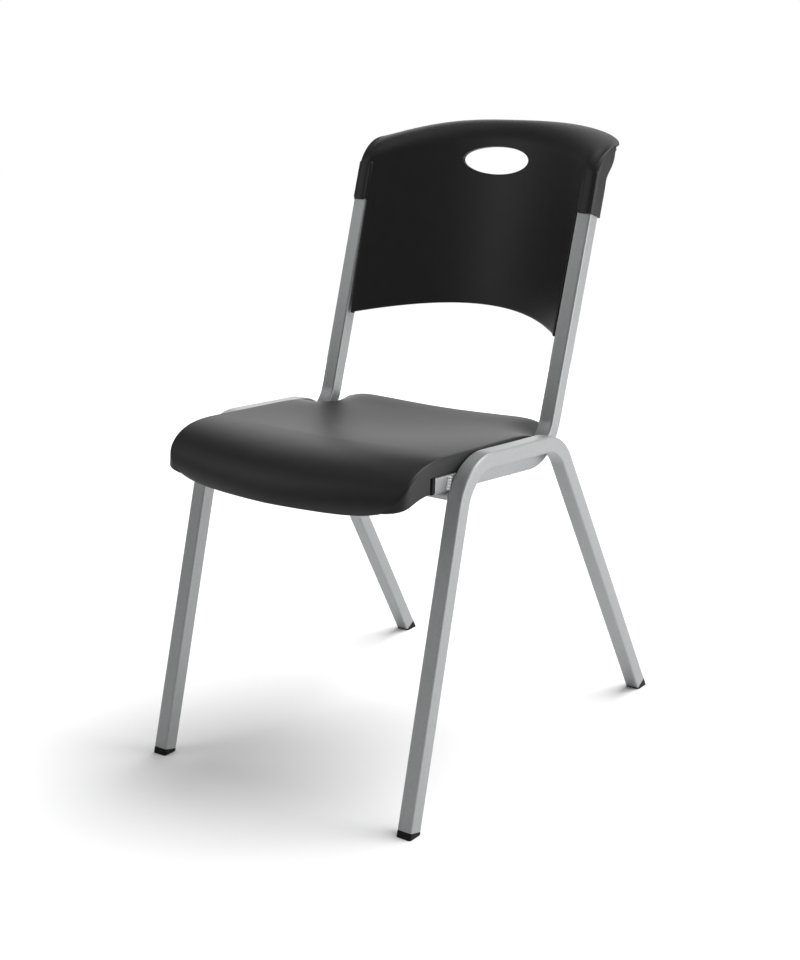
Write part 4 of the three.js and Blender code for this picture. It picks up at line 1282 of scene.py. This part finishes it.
    def build(self) -> None:
        """Makes the seat with room for the uprights, and its four bosses."""
        skin = Skin(self.skin, self.folds, corner_rows=self.lip_rows)
        grid = self.grid()
        normals = skin.normals(grid)
        if normals[len(grid) // 2, grid.shape[1] // 2, 2] < 0:
            normals = -normals
        normals[-self.lip_rows :] = normals[-self.lip_rows]
        rings = skin.rings(grid, normals)
        strip = grid.shape[1]
        seat = self.shop.stand_in("seat_shell", rings, Slot.SEAT, self.skin_sharp, strip)
        for side in Side:
            self._clear_upright(seat, side)
            for number, reach in enumerate(self.boss_reaches, 1):
                self._boss(side, reach, f"seat_boss_{side.word}_{number}")

    def _boss(self, side: Side, reach: float, name: str) -> None:
        """Makes a boss: a softened block from just above the rail up into the skin.

        Its rings follow the rail's slope below and widen a little towards the skin, as a
        moulded block does. The profile holds how far each draws in, in mm, and its share of
        the height.

        Args:
            side: the half of the chair.
            reach: where its middle stands along.
            name: the piece's name.
        """
        lines = self.lines
        outline = rounded_square(self.boss_width, self.boss_corner)
        x = lines.back_frame_x(reach)
        y = reach + outline[:, 1] * (self.boss_length / self.boss_width)
        low = lines.back_frame_top(y) + lines.gap
        high = self.top(np.full_like(y, x), y) - self.boss_depth
        rings = []
        for inset, share in self.boss_profile:
            grow = 1 - inset * MM / (self.boss_width / 2)
            across = side.value * (x + outline[:, 0] * grow)
            along = reach + (y - reach) * grow + lines.shift
            rings.append(np.stack([across, along, low + (high - low) * share], axis=1))
        self.shop.ring_stack(name, np.array(rings), Slot.SEAT, sharp=self.block_sharp)

    def _clear_upright(self, seat: bpy.types.Object, side: Side) -> None:
        """Cuts the room of an upright out of the seat.

        Args:
            seat: the seat's object.
            side: the half of the chair.
        """
        lines = self.lines
        fat = lines.tube + 2 * self.tube_room
        corners = lines.back_corners
        tube = BentTube(corners, fat, lines.bend, self.tube_corner, step=self.tube_step)
        rings = lines.in_back_plane(tube.rings(), side)
        cutter = self.shop.ring_stack(f"cutter_{side.word}", rings, Slot.SEAT)
        cut(seat, cutter, self.skin_sharp)


@dataclass
class BackShell(Moulding):
    """The moulded back: a deep curve between the uprights, rolled back along its top."""

    width: float = 410.98 * MM
    row_points: int = 161
    face_steps: int = 81
    wall_steps: int = 5
    crowding: float = 0.6
    lower_width: float = 356.0 * MM
    lower_growth: float = 3.4 * MM
    notch: float = 747.5 * MM
    top_height: float = 865.4 * MM
    top_fall: float = 27.8 * MM
    low_height: float = 600.5 * MM
    low_fall: float = 24.0 * MM
    depth_low: float = 73.0 * MM
    depth_high: float = 51.0 * MM
    depth_rise: float = 206.0 * MM
    stand: float = 15.8 * MM
    arc_half: float = 186.0 * MM
    arc_soft: float = 0.0036
    top_depth: float = 84.0 * MM
    corner_depth: float = 16.4 * MM
    roll_height: float = 32.8 * MM
    roll_corner: float = 7.2 * MM
    roll_full: float = 0.87
    corner_full: float = 1.08
    top_bend: float = 2.83
    rear_bend: float = 5.1
    narrowing: float = 3.0 * MM
    narrow_start: float = 784.0 * MM
    narrow_run: float = 50.0 * MM
    side_depth: float = 11.5 * MM
    swell_depth: float = 42.9 * MM
    swell_start: float = 798.5 * MM
    swell_end: float = 844.0 * MM
    side_least: float = 4.0 * MM
    corner_hang: Pair = (2.45 * MM, -6.58 * MM)
    edge_round: float = 9.0 * MM
    round_loss: float = 0.55
    round_share: float = 0.9
    flange_round: float = 3.0 * MM
    flange: float = 20.0 * MM
    flange_least: float = 0.35
    flange_run: float = 0.12
    seam: float = 1.6 * MM
    shelf: float = 3.2 * MM
    shelf_lead: float = 1.02
    low_rows: int = 37
    face_rows: int = 15
    roll_rows: int = 27
    socket_wall: float = 1.8 * MM
    socket_corner: float = 4.0 * MM
    socket_inset: float = 0.4 * MM
    socket_lean: float = 0.3
    socket_profile: Profile = (
        (0.9, -0.5), (0.2, -0.3), (0.0, 0.4), (0.0, 53.0), (0.8, 55.0), (3.0, 56.0)
    )
    hole_width: float = 113.0 * MM
    hole_height: float = 40.5 * MM
    hole_centre: float = 808.5 * MM
    hole_points: int = 96
    bore_room: float = 0.6 * MM
    bore_reach: float = 30.0 * MM
    rim_profile: Profile = (
        (0.9, 0.1), (0.45, 0.2), (0.15, 0.5), (0.0, 1.1), (0.0, 3.0), (0.0, 6.6), (0.25, 7.2),
        (0.8, 7.5), (1.8, 7.5), (2.35, 7.2), (2.6, 6.6), (2.6, 3.9), (2.4, 2.2), (1.6, 1.0),
    )

    def half_at(self, z: float) -> float:
        """Half the width at a height: it eases in above the ends of the tubes."""
        share = float(smooth((z - self.narrow_start) / self.narrow_run))
        return self.half - self.narrowing * share

    def depth(self, x: Array, z: Array) -> Array:
        """Depth of the front face behind the uprights' axes.

        A soft-capped parabola across, whose middle draws forward with height.

        Args:
            x: places across.
            z: heights.

        Returns:
            Depths, level with each height.
        """
        rise = (z - self.low_height) / self.depth_rise
        middle = self.depth_low + (self.depth_high - self.depth_low) * rise
        t = 1 - (x / self.arc_half) ** 2
        cap = (t + np.sqrt(t * t + self.arc_soft)) / 2
        return -self.stand + (middle + self.stand) * cap

    def top_z(self, x: Array) -> Array:
        """Height of the top edge: its middle less the fall times |x / half| to a power."""
        return self.top_height - self.top_fall * np.abs(x / self.half) ** self.top_bend

    def low_z(self, x: Array) -> Array:
        """Height of the lower edge: an arch, its middle less the fall times (x / half)²."""
        return self.low_height - self.low_fall * (x / self.half) ** 2

    def roll(self, x: Array) -> Array:
        """Height of the top roll, which grows towards the corners with (x / half)²."""
        return self.roll_height + self.roll_corner * (x / self.half) ** 2

    def rear(self, x: Array) -> Array:
        """Depth of the top edge behind the uprights' axes: √(1 - |x / half| to a power)."""
        full = np.sqrt(np.maximum(0.0, 1 - np.abs(x / self.half) ** self.rear_bend))
        return self.corner_depth + (self.top_depth - self.corner_depth) * full

    def face(self, x: Array, z: Array) -> Array:
        """Places of the plain front face at given x and z."""
        return np.stack([x, self.lines.upright_y(z) + self.depth(x, z), z], axis=-1)

    def rolled(self, x: Array, share: float) -> Array:
        """Places on the top roll: a quarter of a slightly square oval.

        It rises with the angle's sine and runs back with 1 less its cosine, each raised to a
        power that goes from the middle's to the corner's with (x / half)⁴.

        Args:
            x: places across.
            share: from 0 where the face ends to 1 at the top edge.

        Returns:
            Places.
        """
        angle = share * math.pi / 2
        start = self.top_z(x) - self.roll(x)
        face = self.depth(x, start)
        full = self.roll_full + (self.corner_full - self.roll_full) * (x / self.half) ** 4
        run = 1 - np.maximum(0.0, np.cos(angle)) ** full
        z = start + self.roll(x) * np.sin(angle) ** full
        y = self.lines.upright_y(z) + face + (self.rear(x) - face) * run
        return np.stack([x, y, z], axis=-1)

    def section(self, line: Array, soft: float, wall: Array) -> Array:
        """Spaces a row of the face out and adds its rounded edges and side walls.

        Args:
            line: the row's places from the left edge to the right edge.
            soft: size of the rounded edge.
            wall: the vector from the row's edge to the wall's rear end.

        Returns:
            Places from the left wall's rear end to the right wall's.
        """
        x = crowded(self.face_steps, self.crowding) * (line[-1, 0] - soft)
        y, z = (np.interp(x, line[:, 0], line[:, k]) for k in (1, 2))
        share = min(self.round_share, soft / float(np.linalg.norm(wall)))
        return self.flanked(np.stack([x, y, z], axis=1), line[-1], wall, share)

    def lower_rows(self) -> Array:
        """Rows below the notch: the face between the uprights with a flange along each.

        Returns:
            Places, rows by columns by 3.
        """
        rows = []
        spread = crowded(self.row_points, self.crowding)
        for share in np.linspace(0, 1, self.low_rows):
            x = spread * (self.lower_width / 2 + self.lower_growth * share)
            low = self.low_z(x) + self.skin / 2
            line = self.face(x, low + (self.notch - low) * share)
            eased = float(smooth(share / self.flange_run))
            reach = self.flange * (self.flange_least + (1 - self.flange_least) * eased)
            rows.append(self.section(line, self.flange_round, self.lines.behind * reach))
        return np.array(rows)

    def upper_rows(self) -> Array:
        """Rows above the notch: the full face, its closed sides and the top roll.

        Returns:
            Places, rows by columns by 3.
        """
        face = [("face", share) for share in np.linspace(0, 1, self.face_rows)[:-1]]
        turn = np.sin(np.linspace(0, 1, self.roll_rows) * math.pi / 2)
        return np.array([self._upper_row(*place) for place in face + [("roll", s) for s in turn]])

    def _upper_row(self, zone: str, share: float) -> Array:
        """Places of one row above the notch.

        Args:
            zone: face or roll.
            share: place in the zone.

        Returns:
            Places from the left wall's rear end to the right wall's.
        """
        rolls = zone == "roll"
        x = crowded(self.row_points, self.crowding) * self.half
        shoulder = float(self.top_z(x[-1]) - self.roll(x[-1]))
        level = self.notch + (shoulder - self.notch) * (1.0 if rolls else share)
        x = x * self.half_at(level) / self.half
        foot = self.notch + self.seam
        start = self.top_z(x) - self.roll(x)
        line = self.rolled(x, share) if rolls else self.face(x, foot + (start - foot) * share)
        edge = line[-1]
        rear = self.lines.upright_y(edge[2]) + self._side_rear(edge[2])
        reach = max(rear - edge[1], self.side_least)
        wall = np.array([0.0, reach, -reach * math.tan(self.lines.recline)])
        if rolls:
            wall = wall * (1 - share**2) + np.array([0.0, *self.corner_hang]) * share**2
        soft = self.edge_round * (1 - self.round_loss * share if rolls else 1.0)
        return self.section(line, soft, wall)

    def _side_rear(self, z: float) -> float:
        """Depth of the side wall's rear edge behind the upright's axis, swelling near the top."""
        swell = float(smooth((z - self.swell_start) / (self.swell_end - self.swell_start)))
        return self.side_depth + (self.swell_depth - self.side_depth) * swell

    def build(self) -> None:
        """Makes the back with its hand hole, hole rim and sockets."""
        skin = Skin(self.skin, self.folds)
        lower, upper = self.lower_rows(), self.upper_rows()
        grid = np.concatenate([lower, upper])
        normals = np.concatenate([self._forward(skin.normals(rows)) for rows in (lower, upper)])
        rings = skin.rings(grid, normals)
        columns = grid.shape[1]
        inner = slice(columns + skin.rim_steps, 2 * columns + skin.rim_steps)
        last_low = skin.rim_steps // 2 + len(lower)
        rings[last_low, inner, 2] += self.shelf
        rings[last_low + 1, inner, 2] += self.shelf * self.shelf_lead
        rings[..., 1] += self.lines.shift
        back = self.shop.stand_in("back_shell", rings, Slot.BACK, self.skin_sharp, columns)
        cut(back, self._bore(), self.skin_sharp)
        self._hole_rim()
        for side in Side:
            self._socket(side)

    def _forward(self, normals: Array) -> Array:
        """Turns normals so that the middle of the face looks to the front."""
        middle = normals[len(normals) // 4, normals.shape[1] // 2]
        return -normals if middle[1] > 0 else normals

    def _hole_axis(self) -> tuple[Array, Array, Array]:
        """Where the hand hole lies.

        Returns:
            Its centre, the direction to the rear and the direction up the face.
        """
        heights = [self.low_height, self.top_height - self.roll_height, self.hole_centre]
        low, high, centre = self.face(np.zeros(3), np.array(heights))
        up = unit(high - low)
        return centre + np.array([0.0, self.lines.shift, 0.0]), np.array([0.0, up[2], -up[1]]), up

    def _oval(self, grow: float) -> Array:
        """The hole's outline.

        Args:
            grow: the margin by which it is grown.

        Returns:
            Offsets across and up, one point per line.
        """
        angle = np.linspace(0, 2 * math.pi, self.hole_points, endpoint=False)
        halves = np.array([self.hole_width / 2 + grow, self.hole_height / 2 + grow])
        return halves * np.stack([np.cos(angle), np.sin(angle)], 1)

    def _bore(self) -> bpy.types.Object:
        """Makes the cutter of the hand hole, a bar of its outline square to the face.

        Returns:
            The cutter.
        """
        centre, rear, up = self._hole_axis()
        ring = ring_at(centre, self._oval(self.bore_room), up)
        rings = np.stack([ring - rear * self.bore_reach, ring + rear * self.bore_reach])
        return self.shop.ring_stack("bore", rings, Slot.BACK)

    def _hole_rim(self) -> None:
        """Makes the collar that lines the hand hole.

        Its section is a rounded bar that starts on the front face, follows the face's curve,
        and reaches back past the skin. The profile holds how far each ring lies out of the
        hole's outline and behind the face, in mm.
        """
        centre, rear, up = self._hole_axis()
        oval = self._oval(0.0)
        surface = self.face(oval[:, 0], centre[2] + oval[:, 1] * up[2])[:, 1] + self.lines.shift
        sag = (surface - centre[1] - oval[:, 1] * up[1]) * rear[1]
        away = unit(oval / np.array([self.hole_width, self.hole_height]) ** 2)
        rings = []
        for out, back in self.rim_profile:
            grown = ring_at(centre, oval + away * out * MM, up)
            rings.append(grown + (back * MM + sag)[:, None] * rear)
        rings = np.array(rings)
        sharp = self.block_sharp
        self.shop.ring_stack("back_hole_rim", rings, Slot.BACK, sharp=sharp, closed=True)

    def _socket(self, side: Side) -> None:
        """Makes the sleeve behind a corner of the back that takes the upright's end.

        Its outer face stays inside the back's side wall.

        Args:
            side: the half of the chair.
        """
        lines = self.lines
        outer = lines.tube + 2 * lines.gap + 2 * self.socket_wall
        foot = np.array([0.0, float(lines.upright_y(self.notch)), self.notch])
        rings = turned_bar(foot, lines.up, outer, self.socket_corner, self.socket_profile)
        for ring, (_, rise) in zip(rings, self.socket_profile):
            room = self.half_at(self.notch + rise * MM) - self.socket_inset
            lean = rise * MM * math.tan(lines.toe) * self.socket_lean
            limit = room - lines.back_frame_x(foot[1]) - lean
            ring[:, 0] = np.minimum(ring[:, 0] * side.value, limit) * side.value
        placed = lines.in_back_plane(rings, side)
        name = f"back_socket_{side.word}"
        self.shop.ring_stack(name, placed, Slot.BACK, sharp=self.block_sharp)


@dataclass(frozen=True)
class Lamp:
    """A soft light: where it stands, where it points, its size and its strength."""

    name: str
    place: Triple
    aim: Triple
    width: float
    height: float
    watts: float

    def build(self) -> None:
        """Adds the light, unseen by the camera itself."""
        lamp = bpy.data.lights.new(self.name, "AREA")
        lamp.shape = "RECTANGLE"
        lamp.size = self.width
        lamp.size_y = self.height
        lamp.energy = self.watts
        x, y, z = np.array(self.aim) - np.array(self.place)
        turns = (math.atan2(math.hypot(x, y), -z), 0.0, math.atan2(y, x) - math.pi / 2)
        added(self.name, lamp, self.place, turns).visible_camera = False


@dataclass
class Studio:
    """Floor, light and camera."""

    eye: Triple = (1.2428, -1.7584, 0.9562)
    azimuth: float = math.radians(35.63)
    elevation: float = math.radians(15.28)
    lens: float = 58.09
    sensor: float = 36.0
    floor_reach: float = 9.0
    floor_colour: tuple[float, float, float, float] = (0.9, 0.9, 0.9, 1.0)
    floor_roughness: float = 0.9
    surround: float = 0.19
    sky_strength: float = 3.25
    sky_softness: float = math.radians(50)
    sky_turns: Triple = (math.radians(-22), math.radians(14), 0.0)
    lamps: tuple[Lamp, ...] = (
        Lamp("right", (2.5, 1.2, 0.9), (0.0, 0.0, 0.5), 1.7, 1.8, 40.0),
        Lamp("rear", (-1.3, 2.3, 1.0), (0.0, 0.0, 0.5), 3.6, 1.9, 36.0),
        Lamp("front", (-1.7, -1.7, 1.9), (0.0, 0.0, 0.6), 1.4, 1.4, 11.0),
    )

    def build(self) -> None:
        """Makes the floor, the lights and the camera, and shows colours as they are."""
        bpy.context.scene.view_settings.view_transform = "Standard"
        self._floor()
        self._world()
        self._sky()
        for lamp in self.lamps:
            lamp.build()
        self._camera()

    def _floor(self) -> None:
        """Makes a pale floor that reaches far behind the chair."""
        r = self.floor_reach
        mesh = bpy.data.meshes.new("floor")
        mesh.from_pydata([(-r, -r, 0), (r, -r, 0), (r, r, 0), (-r, r, 0)], [], [(0, 1, 2, 3)])
        pale = bpy.data.materials.new("floor_pale")
        pale.use_nodes = True
        wired(pale.node_tree.nodes["Principled BSDF"], {
            "Base Color": self.floor_colour,
            "Roughness": self.floor_roughness,
            "Specular IOR Level": 0.0,
        })
        mesh.materials.append(pale)
        floor = added("floor", mesh)

    def _world(self) -> None:
        """Makes a surround that looks white and lights the chair only faintly."""
        world = bpy.data.worlds.new("surround")
        world.use_nodes = True
        nodes = world.node_tree.nodes
        seen = nodes.new("ShaderNodeLightPath").outputs["Is Camera Ray"]
        levels = {"Value": seen, "To Min": self.surround, "To Max": 1.0}
        level = wired(nodes.new("ShaderNodeMapRange"), levels).outputs["Result"]
        wired(nodes["Background"], {"Color": (1.0, 1.0, 1.0, 1.0), "Strength": level})
        bpy.context.scene.world = world

    def _sky(self) -> None:
        """Adds one broad light from above that reaches the floor evenly."""
        lamp = bpy.data.lights.new("sky", "SUN")
        lamp.energy = self.sky_strength
        lamp.angle = self.sky_softness
        added("sky", lamp, turns=self.sky_turns)

    def _camera(self) -> None:
        """Makes the camera at the photograph's viewing angle and size."""
        data = bpy.data.cameras.new("camera")
        data.lens = self.lens
        data.sensor_width = self.sensor
        turns = (math.pi / 2 - self.elevation, 0.0, self.azimuth)
        bpy.context.scene.camera = added("camera", data, self.eye, turns)


@dataclass
class CarriedNodes:
    """CAD nodes that keep their own shape and only get a finish."""

    nodes: dict[str, bpy.types.Object]
    shop: Workshop

    def build(self) -> None:
        """Dresses every node by its name."""
        for name, node in self.nodes.items():
            slot = self.slot_of(name)
            node.data.materials.clear()
            node.data.materials.append(self.shop.materials[slot])
            LOG.info("%s: carried over, %s", name, slot.value)

    def slot_of(self, name: str) -> Slot:
        """The finish of a CAD node, from the words in its name.

        Args:
            name: the node's name.

        Returns:
            The slot of the first word found in it, or the frame's.
        """
        # Weld nodes wear the weld paint, whose lighter colour is a painted highlight.
        words = {"screw": Slot.SCREW, "weld": Slot.WELD, "cap": Slot.CAP, "plug": Slot.CAP,
                 "seat_shell": Slot.SEAT, "back_shell": Slot.BACK}
        return next((slot for word, slot in words.items() if word in name), Slot.FRAME)


def main() -> None:
    """Builds the chair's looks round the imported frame."""
    logging.basicConfig(level=logging.INFO, format="%(message)s")
    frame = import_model()
    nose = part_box("seat_shell")[0].y
    lines = FrameLines(shift=nose + SeatShell.nose_reach)
    shop = Workshop()
    CarriedNodes(frame["nodes"], shop).build()
    TubeFrame(lines, shop).build()
    SeatShell(lines, shop).build()
    BackShell(lines, shop).build()
    Studio().build()


if __name__ == "__main__":
    main()
